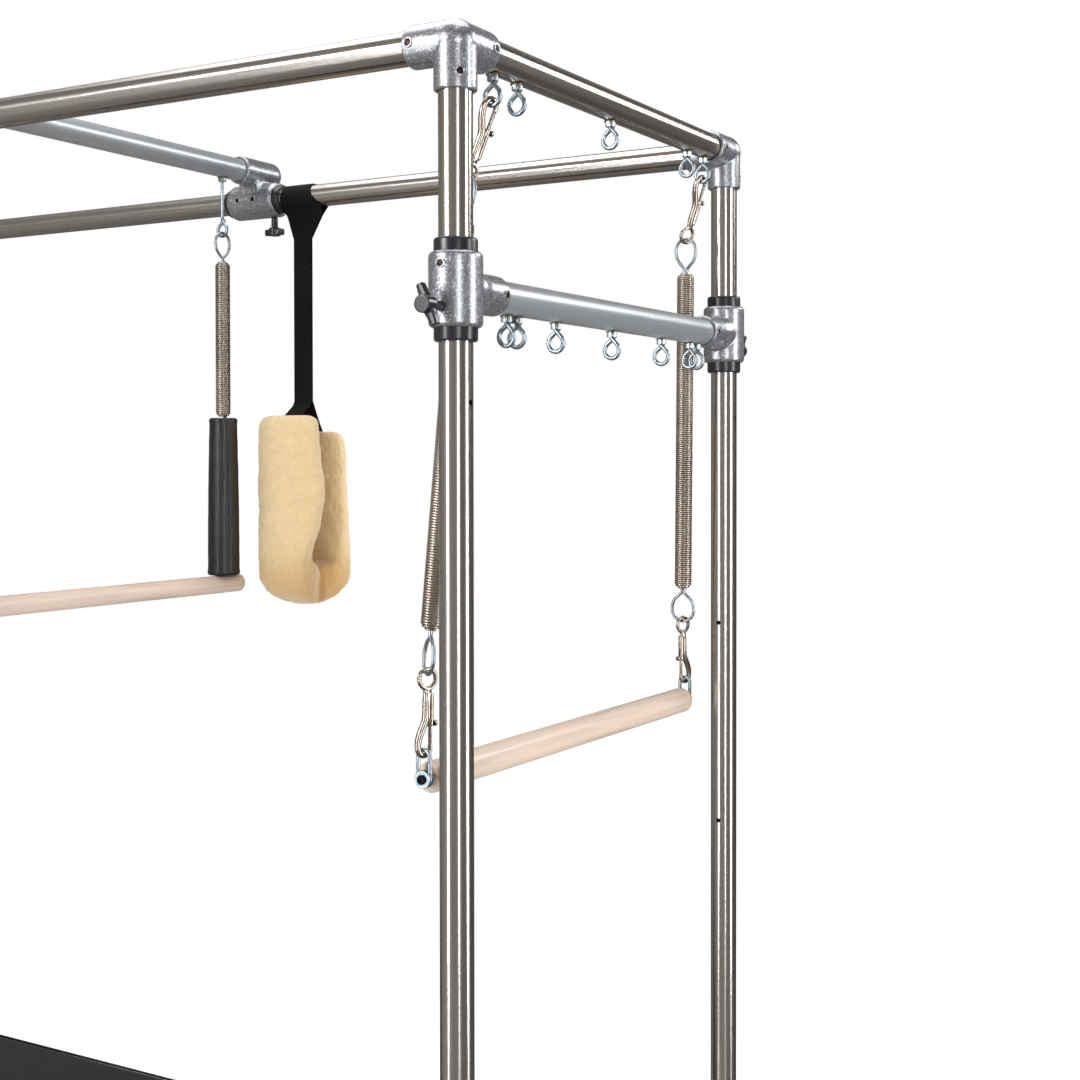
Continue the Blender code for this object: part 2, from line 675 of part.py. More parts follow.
def loop_route(turn):
    """A teardrop wire loop from its free end round to its neck, as (x, y, distance below the crown)."""
    flat = [(0.0042, 0.0405), (0.0135, 0.0300)]
    for step in range(8):
        angle = math.pi * step / 7
        flat.append((LOOP_R * math.cos(angle), LOOP_R - LOOP_R * math.sin(angle)))
    flat += [(-0.0135, 0.0300), (-0.0040, 0.0415), (0.0, LOOP_LENGTH - LOOP_WIRE_R)]
    return [(u * math.cos(turn), u * math.sin(turn), w) for u, w in flat]


def own_gap(points, swell):
    """The least clear distance from a wound wire to itself, past its own next stretch."""
    least = 1.0
    travelled = [0.0]
    for first, second in zip(points, points[1:]):
        travelled.append(travelled[-1] + (second - first).length)
    for i, first in enumerate(points):
        for j in range(i + 1, len(points)):
            if travelled[j] - travelled[i] < 4 * COIL_WIRE_R:
                continue
            clear = (points[j] - first).length - COIL_WIRE_R * (swell[i] + swell[j])
            least = min(least, clear)
    return least


def spring_piece(name, length, turns, top_turn, low_turn, crown, along, parent):
    """One spring whose top crown is at a place and which runs along a direction."""
    points, swell = spring_route(length, turns, top_turn, low_turn)
    print(name, "least gap to itself, mm:", round(own_gap(points, swell) * 1000, 2))
    mesh = wire(points, COIL_WIRE_R, swell=swell, name=name)
    turn = Vector((0, 0, -1)).rotation_difference(along).to_matrix()
    piece(name, mesh, SPRING_STEEL, crown, turn, parent)


def shackle_shape():
    """The steel link that a roll-down snap holds, with its hub, washers and cap screw.

    The link lies in XZ with its crown's middle at the origin. The screw's head looks
    towards -Y and its shaft runs in towards +Y.
    """
    drop = SHACKLE_LENGTH - SHACKLE_HALF
    route = [Vector((-SHACKLE_HUB_R / 2, 0, -drop - SHACKLE_HUB_R / 3))]
    route.append(Vector((-SHACKLE_HALF, 0, 0.002 - drop)))
    for step in range(6):
        angle = math.pi * step / 5
        route.append(Vector((-SHACKLE_HALF * math.cos(angle), 0, SHACKLE_HALF * math.sin(angle))))
    route.append(Vector((SHACKLE_HALF, 0, 0.002 - drop)))
    route.append(Vector((SHACKLE_HUB_R / 2, 0, -drop - SHACKLE_HUB_R / 3)))
    link = wire(route, SHACKLE_WIRE_R)
    washer = SHACKLE_WIRE_R + GAP
    outer = washer + AXLE_WASHER_T
    head = outer + AXLE_HEAD_H
    collar = GAP - SHACKLE_STAND
    tip = -SHACKLE_STAND - AXLE_DEPTH
    profile = [(0, tip), (AXLE_R, tip), (AXLE_R, collar), (AXLE_COLLAR_R, collar), (AXLE_COLLAR_R, -outer),
               (AXLE_WASHER_R, -outer), (AXLE_WASHER_R, -washer), (SHACKLE_HUB_R, -washer),
               (SHACKLE_HUB_R, washer), (AXLE_WASHER_R, washer), (AXLE_WASHER_R, outer),
               (AXLE_HEAD_R, outer), (AXLE_HEAD_R, head), (0, head)]
    hub = moved(lathe(profile, 12, "axle"), (0, 0, -drop), about("X", 90))
    return shaped([link, hub], name="shackle")


def chain_places(sy):
    """Where one chain of the roll-down bar hangs: hook, eyes, spring ends, shackle and axle."""
    ring_low = RAIL_Z - EYE_DROP - EYE_RING_R
    hook_y = sy * END_EYES[-1] + SNAP_SIDE_SHIFT
    hook = Vector((POST_X, hook_y, ring_low + EYE_WIRE_R + SNAP_WIRE_R + LINK_GAP))
    seat = SNAP_EYE_R - SNAP_EYE_WIRE_R - LOOP_WIRE_R - LINK_GAP
    held = seat + snap_reach()
    slope_y = (sy * HANG_LOW_Y - hook_y) / (2 * held + ROLL_SPRING_LENGTH)
    lean = math.asin(TOP_LEAN_X / snap_reach())
    down = Vector((-math.sin(lean), slope_y, -math.cos(lean))).normalized()
    top_eye = hook + down * snap_reach()
    crown = top_eye + down * seat
    drop = crown.z - (RAIL_Z - CROSSBAR_DROP)
    off = POST_X - crown.x
    touch = OUTLET_R + COIL_R + GAP
    tilt = math.asin(touch / math.hypot(off, drop)) - math.atan2(off, drop)
    along = Vector((-math.sin(tilt), slope_y, -math.cos(tilt))).normalized()
    foot = crown + along * ROLL_SPRING_LENGTH
    low_y = (sy * HANG_LOW_Y - foot.y) / held
    low = Vector((0, low_y, -math.sqrt(1 - low_y * low_y)))
    low_eye = foot + low * seat
    low_hook = foot + low * held
    shackle = low_hook + Vector((0, 0, SNAP_WIRE_R + SHACKLE_WIRE_R + LINK_GAP - SHACKLE_HALF))
    return {"hook": hook, "top_eye": top_eye, "crown": crown, "along": along, "foot": foot,
            "low_eye": low_eye, "low_hook": low_hook, "shackle": shackle}


def build_roll_down():
    """The roll-down bar on two springs, each with a snap hook at both ends."""
    front, back = chain_places(-1), chain_places(1)
    swing = pivot("roll_down_swing", (POST_X, 0, front["hook"].z))
    stretch = pivot("roll_down_stretch", (front["foot"].x, 0, front["foot"].z), swing)
    sway = pivot("shackle_swing", (front["shackle"].x, 0, front["shackle"].z), stretch)
    axle = Vector((front["shackle"].x, 0, front["shackle"].z - SHACKLE_LENGTH + SHACKLE_HALF))
    spin = pivot("roll_bar_spin", axle, sway)
    snap, bolt, shackle = snap_shape(), snap_bolt_shape(), shackle_shape()
    low_turns = {"front": SNAP_LOW_FRONT_TURN, "back": SNAP_LOW_BACK_TURN}
    loop_turns = {"front": (LOOP_TOP_FRONT_TURN, LOOP_LOW_FRONT_TURN),
                  "back": (LOOP_TOP_BACK_TURN, LOOP_LOW_BACK_TURN)}
    for side, places in (("front", front), ("back", back)):
        turn = snap_frame(places["top_eye"], places["hook"], SNAP_TOP_TURN)
        piece(f"top_snap_{side}", snap.copy(), NICKEL, places["top_eye"], turn, swing)
        travel = pivot(f"top_snap_bolt_travel_{side}", places["top_eye"], swing)
        piece(f"top_snap_bolt_{side}", bolt.copy(), NICKEL, places["top_eye"], turn, travel)
        top_loop, low_loop = loop_turns[side]
        spring_piece(f"roll_spring_{side}", ROLL_SPRING_LENGTH, ROLL_SPRING_TURNS, top_loop, low_loop,
                     places["crown"], places["along"], swing)
        turn = snap_frame(places["low_eye"], places["low_hook"], low_turns[side])
        piece(f"low_snap_{side}", snap.copy(), NICKEL, places["low_eye"], turn, stretch)
        travel = pivot(f"low_snap_bolt_travel_{side}", places["low_eye"], stretch)
        piece(f"low_snap_bolt_{side}", bolt.copy(), NICKEL, places["low_eye"], turn, travel)
        face = about("Z", 0 if side == "front" else 180)
        at = (axle.x, SIDES[side] * HANG_LOW_Y, front["shackle"].z)
        piece(f"shackle_{side}", shackle.copy(), ZINC, at, face, sway)
    piece("roll_bar", dowel_shape(ROLL_BAR_R, ROLL_BAR_HALF, axle_bore()), BEECH, axle, parent=spin)


def axle_bore():
    low = ROLL_BAR_HALF - AXLE_DEPTH - 0.002
    bore = rod(AXLE_R + 2 * GAP, low, ROLL_BAR_HALF + 0.01)
    return [moved(bore, turn=about("X", 90)), moved(bore, turn=about("X", -90))]


def dowel_shape(radius, half, cuts):
    """A turned beech bar along Y with eased ends."""
    profile = [(0, -half), (radius - ROLL_BAR_EDGE, -half), (radius, -half + ROLL_BAR_EDGE),
               (radius, half - ROLL_BAR_EDGE), (radius - ROLL_BAR_EDGE, half), (0, half)]
    bar = moved(lathe(profile, TUBE_SIDES, "dowel"), turn=about("X", 90))
    return shaped([bar], cuts, "dowel")


def slider_tee_shape():
    """A crossover casting: a sleeve along X on the long rail, and a blind socket above it along Y."""
    barrel = moved(barrel_shape(SLIDER_HALF), turn=about("Y", 90))
    lip_reach = SLIDER_HALF + SLIDER_BUSH_OVER
    lips = moved(rod(BUSH_R, -lip_reach, lip_reach, TUBE_SIDES), turn=about("Y", 90))
    out = SLIDER_SOCKET_OUT
    profile = [(0, -SLIDER_SOCKET_IN), (CORNER_R, -SLIDER_SOCKET_IN), (CORNER_R, out - 0.014),
               (CORNER_R * 0.93, out - 0.007), (CORNER_R * 0.7, out - 0.002), (0, out)]
    cup = moved(lathe(profile, TUBE_SIDES, "cup"), (0, 0, SLIDER_RISE), about("X", 90))
    solids = [barrel, lips, cup]
    bore = moved(rod(TUBE_R + GAP, -lip_reach - 0.01, lip_reach + 0.01, TUBE_SIDES), turn=about("Y", 90))
    blind = rod(TUBE_R + GAP, -SLIDER_TUBE_OVER - GAP, SLIDER_SOCKET_IN + 0.01, TUBE_SIDES)
    blind = moved(blind, (0, 0, SLIDER_RISE), about("X", -90))
    tap = moved(knob_hole(), (SLIDER_KNOB_OFFSET, 0, 0), about("X", 180))
    return shaped(solids, [bore, blind, tap], "slider_tee")


def build_slider():
    """The slider tube across the two long rails, its castings and knobs, and the trapeze below it."""
    height = RAIL_Z + SLIDER_RISE
    carriage = pivot("slider_carriage", (SLIDER_X, 0, height))
    reach = POST_Y + SLIDER_TUBE_OVER
    tube = moved(pipe(TUBE_R, TUBE_R - CROSSBAR_WALL, -reach, reach), turn=about("X", 90))
    eyes = [moved(eye_shape(SLIDER_EYE_DROP), (0, sy * SLIDER_EYE_Y, GAP * 2)) for sy in SIDES.values()]
    rail = shaped([tube] + eyes, name="slider_tube")
    piece("slider_tube", rail, ANODISED, (SLIDER_X, 0, height), parent=carriage)
    tee = slider_tee_shape()
    knob = knob_shape(SLIDER_KNOB_NECK_L, SLIDER_KNOB_T, SLIDER_KNOB_SPAN, SLIDER_KNOB_T)
    for side, sy in SIDES.items():
        at = (SLIDER_X, sy * POST_Y, RAIL_Z)
        piece(f"slider_tee_{side}", mirrored(tee, sy), CAST, at, parent=carriage)
        tip = (SLIDER_X + SLIDER_KNOB_OFFSET, sy * POST_Y, RAIL_Z - TUBE_R - GAP)
        axis = pivot(f"slider_knob_axis_{side}", tip, carriage)
        piece(f"slider_knob_{side}", knob.copy(), BLACK, tip, about("X", 180), axis)
    build_trapeze(carriage)


def mirrored(mesh, sy):
    """A casting for the front side, or its mirror image for the back side."""
    copy = mesh.copy()
    if sy > 0:
        copy.transform(Matrix.Diagonal((1, -1, 1, 1)))
        copy.flip_normals()
    return copy


def build_trapeze(carriage):
    """Two springs, two padded sleeves and a beech bar, which swing from the slider's eyes."""
    ring_low = RAIL_Z + SLIDER_RISE + 2 * GAP - SLIDER_EYE_DROP - EYE_RING_R
    crown = ring_low + EYE_WIRE_R + LOOP_WIRE_R + LINK_GAP
    length = LOOP_LENGTH + TRAPEZE_COIL_LENGTH + STEM_LENGTH
    swing = pivot("trapeze_swing", (SLIDER_X, 0, crown), carriage)
    sleeve_top = crown - (LOOP_LENGTH + TRAPEZE_COIL_LENGTH) - GAP
    bar_z = sleeve_top - SLEEVE_LENGTH - GAP - TRAPEZE_BAR_R
    stretch = pivot("trapeze_stretch", (SLIDER_X, 0, sleeve_top), swing)
    sleeve = sleeve_shape()
    for side, sy in SIDES.items():
        y = sy * SLIDER_EYE_Y
        spring_piece(f"trapeze_spring_{side}", length, TRAPEZE_SPRING_TURNS, math.radians(90), None,
                     (SLIDER_X, y, crown), Vector((0, 0, -1)), swing)
        piece(f"trapeze_sleeve_{side}", sleeve.copy(), VINYL, (SLIDER_X, y, sleeve_top), parent=stretch)
    drill = rod(SLEEVE_ROD_R + HOLE_CLEAR, -2 * TRAPEZE_BAR_R, 2 * TRAPEZE_BAR_R)
    holes = [moved(drill, (0, sy * SLIDER_EYE_Y, 0)) for sy in SIDES.values()]
    bar = dowel_shape(TRAPEZE_BAR_R, TRAPEZE_BAR_HALF, holes)
    piece("trapeze_bar", bar, BEECH, (SLIDER_X, 0, bar_z), parent=stretch)


def sleeve_shape():
    """A padded sleeve with the rod that holds the bar. Its top is at the origin."""
    low = -SLEEVE_LENGTH
    tip = SLEEVE_ROD_SHORT - SLEEVE_LENGTH - 2 * TRAPEZE_BAR_R - 2 * GAP
    ease = SLEEVE_ROUND
    profile = [(0, -STEM_LENGTH - 0.004), (SLEEVE_BORE_R, -STEM_LENGTH - 0.004), (SLEEVE_BORE_R, 0),
               (SLEEVE_TOP_R - ease, 0), (SLEEVE_TOP_R, -ease), (SLEEVE_LOW_R, low + ease),
               (SLEEVE_LOW_R - ease, low), (SLEEVE_ROD_R, low), (SLEEVE_ROD_R, tip), (0, tip)]
    return lathe(profile, 12, "sleeve")


def strap_section(y, z, normal, width):
    """One flat cross-section of the webbing, as four corners."""
    half = STRAP_T / 2
    out = Vector((0, normal[0], normal[1])) * half
    place = Vector((0, y, z))
    wide = Vector((width / 2, 0, 0))
    return [place - wide - out, place + wide - out, place + wide + out, place - wide + out]


def strap_shape():
    """One length of webbing laid over the rail, with both plies hanging down and parting at the fleece."""
    ring = TUBE_R + GAP + STRAP_T / 2
    ply = (STRAP_T + STRAP_PLY_GAP) / 2
    ends = {-1: FLEECE_TOP - GAP, 1: FLEECE_TOP + FLEECE_BACK_DROP - GAP}
    spread = FLEECE_BEND_R - 0.012

    def width_at(drop):
        share = min(1.0, max(0.0, (drop - ring) / (STRAP_TAPER_END - ring)))
        return STRAP_WRAP_WIDTH + (STRAP_WIDTH - STRAP_WRAP_WIDTH) * share

    def tail(sy):
        """From the end at the fleece up to just under the rail."""
        out = (0.0, 1.0)
        stations = [(sy * spread, ends[sy], 0.0), (sy * (ply + 0.006), STRAP_END + 0.010, 0.8),
                    (sy * ply, STRAP_END, 0.1), (sy * ply, STRAP_TAPER_END, 0.0),
                    (sy * ply, ring + 0.012, 0.0)]
        sections = []
        for y, drop, bend in stations:
            normal = Vector((1.0, sy * bend)).normalized()
            sections.append(strap_section(y, -drop, normal, width_at(drop)))
        return sections

    rings = tail(-1)
    start = math.radians(24)
    steps = 16
    for step in range(steps + 1):
        angle = start + (2 * math.pi - 2 * start) * step / steps
        y, z = -ring * math.sin(angle), -ring * math.cos(angle)
        normal = Vector((math.sin(angle), math.cos(angle)))
        low = (1 + math.cos(angle)) / 2
        width = STRAP_TOP_WIDTH + (STRAP_WRAP_WIDTH - STRAP_TOP_WIDTH) * low
        rings.append(strap_section(y, z, normal, width))
    back = tail(1)
    for section in reversed(back):
        rings.append([section[3], section[2], section[1], section[0]])
    return rings


def strap_mesh():
    return loft(strap_shape(), "strap")


def fleece_shape():
    """A thick U of sheepskin in the YZ plane, as round-cornered sections along its route."""
    bend_z = -(FLEECE_BOTTOM - FLEECE_HALF_T - FLEECE_BEND_R)
    stations = []
    for drop, size in FLEECE_ARM:
        stations.append((-FLEECE_BEND_R, -FLEECE_TOP - drop, 0.0, size))
    for step in range(9):
        angle = math.pi * step / 8
        y, z = -FLEECE_BEND_R * math.cos(angle), bend_z - FLEECE_BEND_R * math.sin(angle)
        stations.append((y, z, angle, 1.0))
    top = -FLEECE_TOP - FLEECE_BACK_DROP
    for drop, size in reversed(FLEECE_ARM):
        stations.append((FLEECE_BEND_R, top - drop, math.pi, size))
    rings = []
    for y, z, angle, size in stations:
        outward = Vector((0, -math.cos(angle), -math.sin(angle)))
        ring = []
        for step in range(FLEECE_POINTS):
            around = 2 * math.pi * step / FLEECE_POINTS
            c, s = math.cos(around), math.sin(around)
            wide = math.copysign(abs(c) ** 0.62, c) * FLEECE_HALF_W * (0.5 + size / 2)
            thick = math.copysign(abs(s) ** 0.75, s) * FLEECE_HALF_T * size
            ring.append(Vector((wide, y, z)) + outward * thick)
        rings.append(ring)
    return loft(rings, "fleece")


def build_fleece_loop():
    """A webbing strap over the back rail that carries a loop of sheepskin."""
    hang = pivot("strap_swing", (STRAP_X, POST_Y, RAIL_Z))
    piece("strap", strap_mesh(), WEBBING, (STRAP_X, POST_Y, RAIL_Z), parent=hang)
    piece("fleece_loop", fleece_shape(), FLEECE, (STRAP_X, POST_Y, RAIL_Z), parent=hang)


clear_scene()
build_canopy()
build_table()
build_crossbar()
build_roll_down()
build_slider()
build_fleece_loop()
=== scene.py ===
"""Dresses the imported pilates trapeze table: tubes, castings, hardware, springs, timber and soft goods.

Metres, +Z up, in the frame's own coordinates. The end with the crossbar is at +X and the front at -Y.
"""

import json
import math

import bmesh
import bpy
from mathutils import Matrix, Vector, noise


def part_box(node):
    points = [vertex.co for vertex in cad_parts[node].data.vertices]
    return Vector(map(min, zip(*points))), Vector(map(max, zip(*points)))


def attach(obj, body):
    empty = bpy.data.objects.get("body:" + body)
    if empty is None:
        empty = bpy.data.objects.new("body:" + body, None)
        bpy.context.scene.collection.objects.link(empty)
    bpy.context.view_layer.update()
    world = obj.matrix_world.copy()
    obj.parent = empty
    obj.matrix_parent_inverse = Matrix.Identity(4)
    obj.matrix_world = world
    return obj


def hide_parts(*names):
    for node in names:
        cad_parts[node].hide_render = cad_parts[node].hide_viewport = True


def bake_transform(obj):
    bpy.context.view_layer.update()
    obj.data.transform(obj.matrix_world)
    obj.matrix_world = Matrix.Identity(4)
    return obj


bl_info = {
    "name": "Trapeze table",
    "version": (1, 0, 0),
    "blender": (4, 5, 0),
    "location": "3D View > Sidebar > Trapeze table",
    "description": "Builds the visible pieces of a pilates trapeze table on its packed frame",
    "category": "Add Mesh",
}

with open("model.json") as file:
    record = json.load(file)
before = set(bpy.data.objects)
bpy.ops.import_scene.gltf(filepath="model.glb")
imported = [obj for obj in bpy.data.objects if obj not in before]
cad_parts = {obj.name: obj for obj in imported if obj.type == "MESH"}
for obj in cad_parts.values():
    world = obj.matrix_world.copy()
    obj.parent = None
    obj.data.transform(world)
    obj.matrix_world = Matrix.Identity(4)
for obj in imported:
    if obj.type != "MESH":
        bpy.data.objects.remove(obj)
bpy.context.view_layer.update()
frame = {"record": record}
SIDES = {"front": -1, "back": 1}
ENDS = {"right": 1, "left": -1}


def corners_of(node):
    """The lowest and the highest corner of a CAD node's box."""
    return tuple(Vector(corner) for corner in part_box(node))


def middle(node):
    low, high = corners_of(node)
    return (low + high) / 2


def extent(node):
    low, high = corners_of(node)
    return high - low


def joint_place(name):
    found = next(joint for joint in frame["record"]["behaviour"]["joints"] if joint["name"] == name)
    return Vector(found["pos_m"])


# Places and sizes that come from the frame
POST_X = middle("upright_front_right").x
POST_Y = middle("upright_back_right").y
RAIL_Z = middle("top_rail_front").z
TUBE_R = extent("top_rail_front").z / 2
CROSSBAR_Z = middle("crossbar_tube").z
SLIDER_X = middle("slider_tube").x
SLIDER_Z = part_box("slider_tube")[1][2] - TUBE_R
HOOK_Z = joint_place("roll_down_swing").z
SHACKLE_PLACE = joint_place("shackle_swing")
AXLE_PLACE = joint_place("roll_bar_spin")
TRAPEZE_CROWN_Z = joint_place("trapeze_swing").z
STRAP_X = middle("strap").x

# Sizes that follow part.py
GAP = 0.0003
TUBE_WALL = 0.002
ANODISED_WALL = 0.003
CORNER_R = 0.024
CORNER_REACH = 0.056
CORNER_DROP = 0.054
CORNER_STOP = 0.022
CORNER_DOME_R = 0.0248
POST_HOLE_R = 0.0035
POST_HOLES_INNER = (0.695, 0.988)
POST_HOLE_OUTER = 0.392
TEE_R = 0.030
TEE_HALF = 0.0415
BUSH_R = 0.0243
BUSH_OVER = 0.0145
OUTLET_R = 0.023
OUTLET_REACH = 0.078
OUTLET_STOP = 0.030
KNOB_OFFSET = 0.020
KNOB_TILT = 23
SLIDER_HALF = 0.050
SLIDER_BUSH_OVER = 0.010
SLIDER_RISE = 0.048
SLIDER_SOCKET_IN = 0.053
SLIDER_SOCKET_OUT = 0.043
SLIDER_TUBE_OVER = 0.033
SLIDER_KNOB_OFFSET = 0.036
SLIDER_EYE_Y = 0.266
SLIDER_EYE_DROP = 0.1095
EYE_WIRE_R = 0.00275
EYE_RING_R = 0.01075
EYE_DROP = 0.0435
END_EYES = (-0.284, -0.231, 0.0, 0.231, 0.284)
BAR_EYES = (-0.259, -0.236, -0.145, 0.0, 0.145, 0.236, 0.259)
BAR_EYES_SHIFT = 0.004
SNAP_EYE_R = 0.011
SNAP_EYE_WIRE_R = 0.0025
SNAP_HOOK_R = 0.008
SNAP_HOOK_U = -0.004
SNAP_HOOK_W = 0.07775
SNAP_TIP_W = 0.0725
SNAP_SIDE_SHIFT = 0.0006
LINK_GAP = 0.0010
LOOP_WIRE_R = 0.00225
LOOP_R = 0.0175
LOOP_LENGTH = 0.048
COIL_R = 0.0127
ROLL_SPRING_LENGTH = 0.564
HANG_LOW_Y = 0.3425
TOP_LEAN_X = 0.0282
ROLL_BAR_R = 0.018
ROLL_BAR_HALF = 0.332
ROLL_HOLE_R = 0.0036
ROLL_HOLE_DEPTH = 0.027
SHACKLE_WIRE_R = 0.0025
SHACKLE_HALF = 0.008
SHACKLE_LENGTH = 0.033
SHACKLE_STAND = HANG_LOW_Y - ROLL_BAR_HALF
SLEEVE_TOP_R = 0.024
SLEEVE_LOW_R = 0.0275
SLEEVE_LENGTH = 0.269
TRAPEZE_BAR_R = 0.015
TRAPEZE_BAR_HALF = 0.305
TRAPEZE_ROD_R = 0.0040
TRAPEZE_HOLE_R = 0.0045

# Sizes of the finer shapes
BARREL_EASE = 0.006
SLIDER_CAP_DEPTH = 0.016
EYE_SIDEWAYS = (0.0012, -0.0016)
WASHER_T = 0.0011
NUT_ACROSS = 0.0125
NUT_HEIGHT = 0.0065
NUT_CHAMFER = 0.0009
SET_SCREW_SOCKET = 0.0030
TAP_R = 0.0045
SNAP_BARREL_R = 0.0039
SNAP_BOLT_R = 0.0022
COIL_NECK = 0.36
COIL_NECK_TURNS = 2.6
# The throat's sections below the eye: drop, middle, half width and half depth
SNAP_THROAT = ((0.0098, 0.0, 0.0066, 0.0019), (0.0125, 0.0, 0.0058, 0.0027),
               (0.0160, 0.0002, 0.0052, 0.0034), (0.0205, 0.0006, 0.0062, 0.0036),
               (0.0260, 0.0008, 0.0066, 0.0034), (0.0430, 0.0006, 0.0064, 0.0032),
               (0.0480, 0.0000, 0.0054, 0.0024))
# The shank's route down to the hook: place across, drop and radius
SNAP_SHANK = ((0.0, 0.013, 0.0034), (-0.0016, 0.019, 0.0038), (-0.0020, 0.026, 0.0040),
              (-0.0020, 0.036, 0.0040), (-0.0021, 0.043, 0.0041), (-0.0036, 0.049, 0.0042),
              (-0.0066, 0.0555, 0.0042), (-0.0096, 0.0615, 0.0041), (-0.0116, 0.0675, 0.0040))


def linear(hex_colour):
    """An sRGB hex colour as linear red, green and blue."""
    channels = [int(hex_colour[index:index + 2], 16) / 255 for index in (1, 3, 5)]
    return tuple(c / 12.92 if c <= 0.04045 else ((c + 0.055) / 1.055) ** 2.4 for c in channels)


def colour_property(name, description, hex_colour):
    start = linear(hex_colour)
    return bpy.props.FloatVectorProperty(name=name, description=description, subtype="COLOR", min=0, max=1,
                                         default=start)


def length_property(name, description, metres):
    return bpy.props.FloatProperty(name=name, description=description, unit="LENGTH", default=metres,
                                   min=0.0001)


class TrapezeTableSizes(bpy.types.PropertyGroup):
    spring_wire: length_property("Spring wire", "Diameter of the close-wound spring wire", 0.0030)
    casting_grain: length_property("Casting detail", "Cell size that the castings are blended at", 0.0010)
    strap_width: length_property("Strap width", "Width of the webbing", 0.038)
    pile_height: length_property("Pile height", "How far the sheepskin's tufts stand out", 0.0030)
    crown_height: length_property("Mat crown", "How much the mat's middle rises over its edge", 0.006)


class TrapezeTableColours(bpy.types.PropertyGroup):
    steel: colour_property("Stainless steel", "Brushed canopy tube", "#BDB8B3")
    casting: colour_property("Cast aluminium", "Polished fittings", "#94979C")
    anodised: colour_property("Anodised aluminium", "Crossbar and slider tube", "#A2A6AA")
    nylon: colour_property("Black nylon", "Sleeves and knobs", "#1A1A20")
    zinc: colour_property("Zinc plate", "Eyebolts and shackles", "#A3AEB6")
    yellow_zinc: colour_property("Yellow zinc", "Washers under the nuts", "#A39468")
    nickel: colour_property("Nickel plate", "Snap hooks", "#A89E94")
    spring: colour_property("Spring steel", "Close-wound springs", "#B8ADA1")
    loop: colour_property("Loop wire", "Wire end loops of the springs", "#A6AEB6")
    oxide: colour_property("Black oxide", "Socket screws", "#1B1B1D")
    bronze: colour_property("Bronzed screw", "Set screws in the castings", "#3A2C24")
    beech: colour_property("Beech", "Timber of the table and the bars", "#C6B3A4")
    vinyl: colour_property("Black vinyl", "Mat and sleeves", "#0E0E10")
    webbing: colour_property("Black webbing", "Strap", "#060608")
    fleece: colour_property("Sheepskin", "Pile of the fleece loop", "#D6BC8F")
    # A darker tan, painted on the fleece as shade low down and between the arms
    fleece_painted_shade: colour_property("Painted pile shade", "Painted shade low down and between the arms", "#B08648")


def sizes():
    return bpy.context.scene.trapeze_table_sizes


def tone(name):
    """One of the panel's colours, as linear red, green and blue."""
    return tuple(getattr(bpy.context.scene.trapeze_table_colours, name))


def add_node(tree, kind, settings=None, inputs=None):
    """Add a shader node, set its properties and fill its inputs with values or links."""
    node = tree.nodes.new(kind)
    for name, value in (settings or {}).items():
        setattr(node, name, value)
    for name, value in (inputs or {}).items():
        socket = node.inputs[name]
        if isinstance(value, bpy.types.NodeSocket):
            tree.links.new(value, socket)
        else:
            socket.default_value = value
    return node


def start_material(name, **constants):
    """A new material with its shader's constant sockets set. Returns the material, tree and shader."""
    material = bpy.data.materials.new(name)
    material.use_nodes = True
    tree = material.node_tree
    shader = tree.nodes["Principled BSDF"]
    for socket, value in constants.items():
        shader.inputs[socket.replace("_", " ")].default_value = value
    return material, tree, shader


def place_coordinates(tree, scale=(1, 1, 1)):
    """Object coordinates in metres, scaled per axis."""
    source = add_node(tree, "ShaderNodeTexCoord")
    settings = {"Vector": source.outputs["Object"], "Scale": scale}
    return add_node(tree, "ShaderNodeMapping", inputs=settings).outputs["Vector"]


def ramp(tree, factor, stops):
    """A colour ramp with its stops as (position, linear colour)."""
    node = add_node(tree, "ShaderNodeValToRGB", inputs={"Fac": factor})
    elements = node.color_ramp.elements
    while len(elements) < len(stops):
        elements.new(0.5)
    for element, (position, colour) in zip(elements, stops):
        element.position = position
        element.color = (*colour, 1)
    return node.outputs["Color"]


def shade(colour, factor):
    return tuple(min(1.0, channel * factor) for channel in colour)


def grain_of(tree, vector, scale, detail, distortion=0.0):
    """The grey value of a noise texture."""
    inputs = {"Vector": vector, "Scale": scale, "Detail": detail, "Distortion": distortion}
    return add_node(tree, "ShaderNodeTexNoise", inputs=inputs).outputs["Fac"]


def spread(tree, value, low, high, start=0.0, end=1.0):
    """A grey value from start to end, spread over low to high."""
    inputs = {"Value": value, "From Min": start, "From Max": end, "To Min": low, "To Max": high}
    return add_node(tree, "ShaderNodeMapRange", inputs=inputs).outputs["Result"]


def worked_out(tree, operation, *values):
    """A sum or a product of grey values."""
    inputs = dict(enumerate(values))
    return add_node(tree, "ShaderNodeMath", {"operation": operation}, inputs).outputs["Value"]


def clouded(tree, factor, name, low, high, start=0.3, end=0.7):
    """One of the panel's colours, from its low shade to its high one as the grey value rises."""
    return ramp(tree, factor, [(start, shade(tone(name), low)), (end, shade(tone(name), high))])


def mixed_colour(tree, first, second, share=1.0, blend="MIX"):
    inputs = {0: share, 6: first, 7: second}
    return add_node(tree, "ShaderNodeMix", {"data_type": "RGBA", "blend_type": blend}, inputs).outputs[2]


def wear(tree, shader, colour, rough=None):
    """Link a colour and a roughness to the shader."""
    tree.links.new(colour, shader.inputs["Base Color"])
    if rough:
        tree.links.new(rough, shader.inputs["Roughness"])


def set_bump(tree, shader, height, strength, distance):
    inputs = {"Height": height, "Strength": strength, "Distance": distance}
    tree.links.new(add_node(tree, "ShaderNodeBump", inputs=inputs).outputs["Normal"], shader.inputs["Normal"])


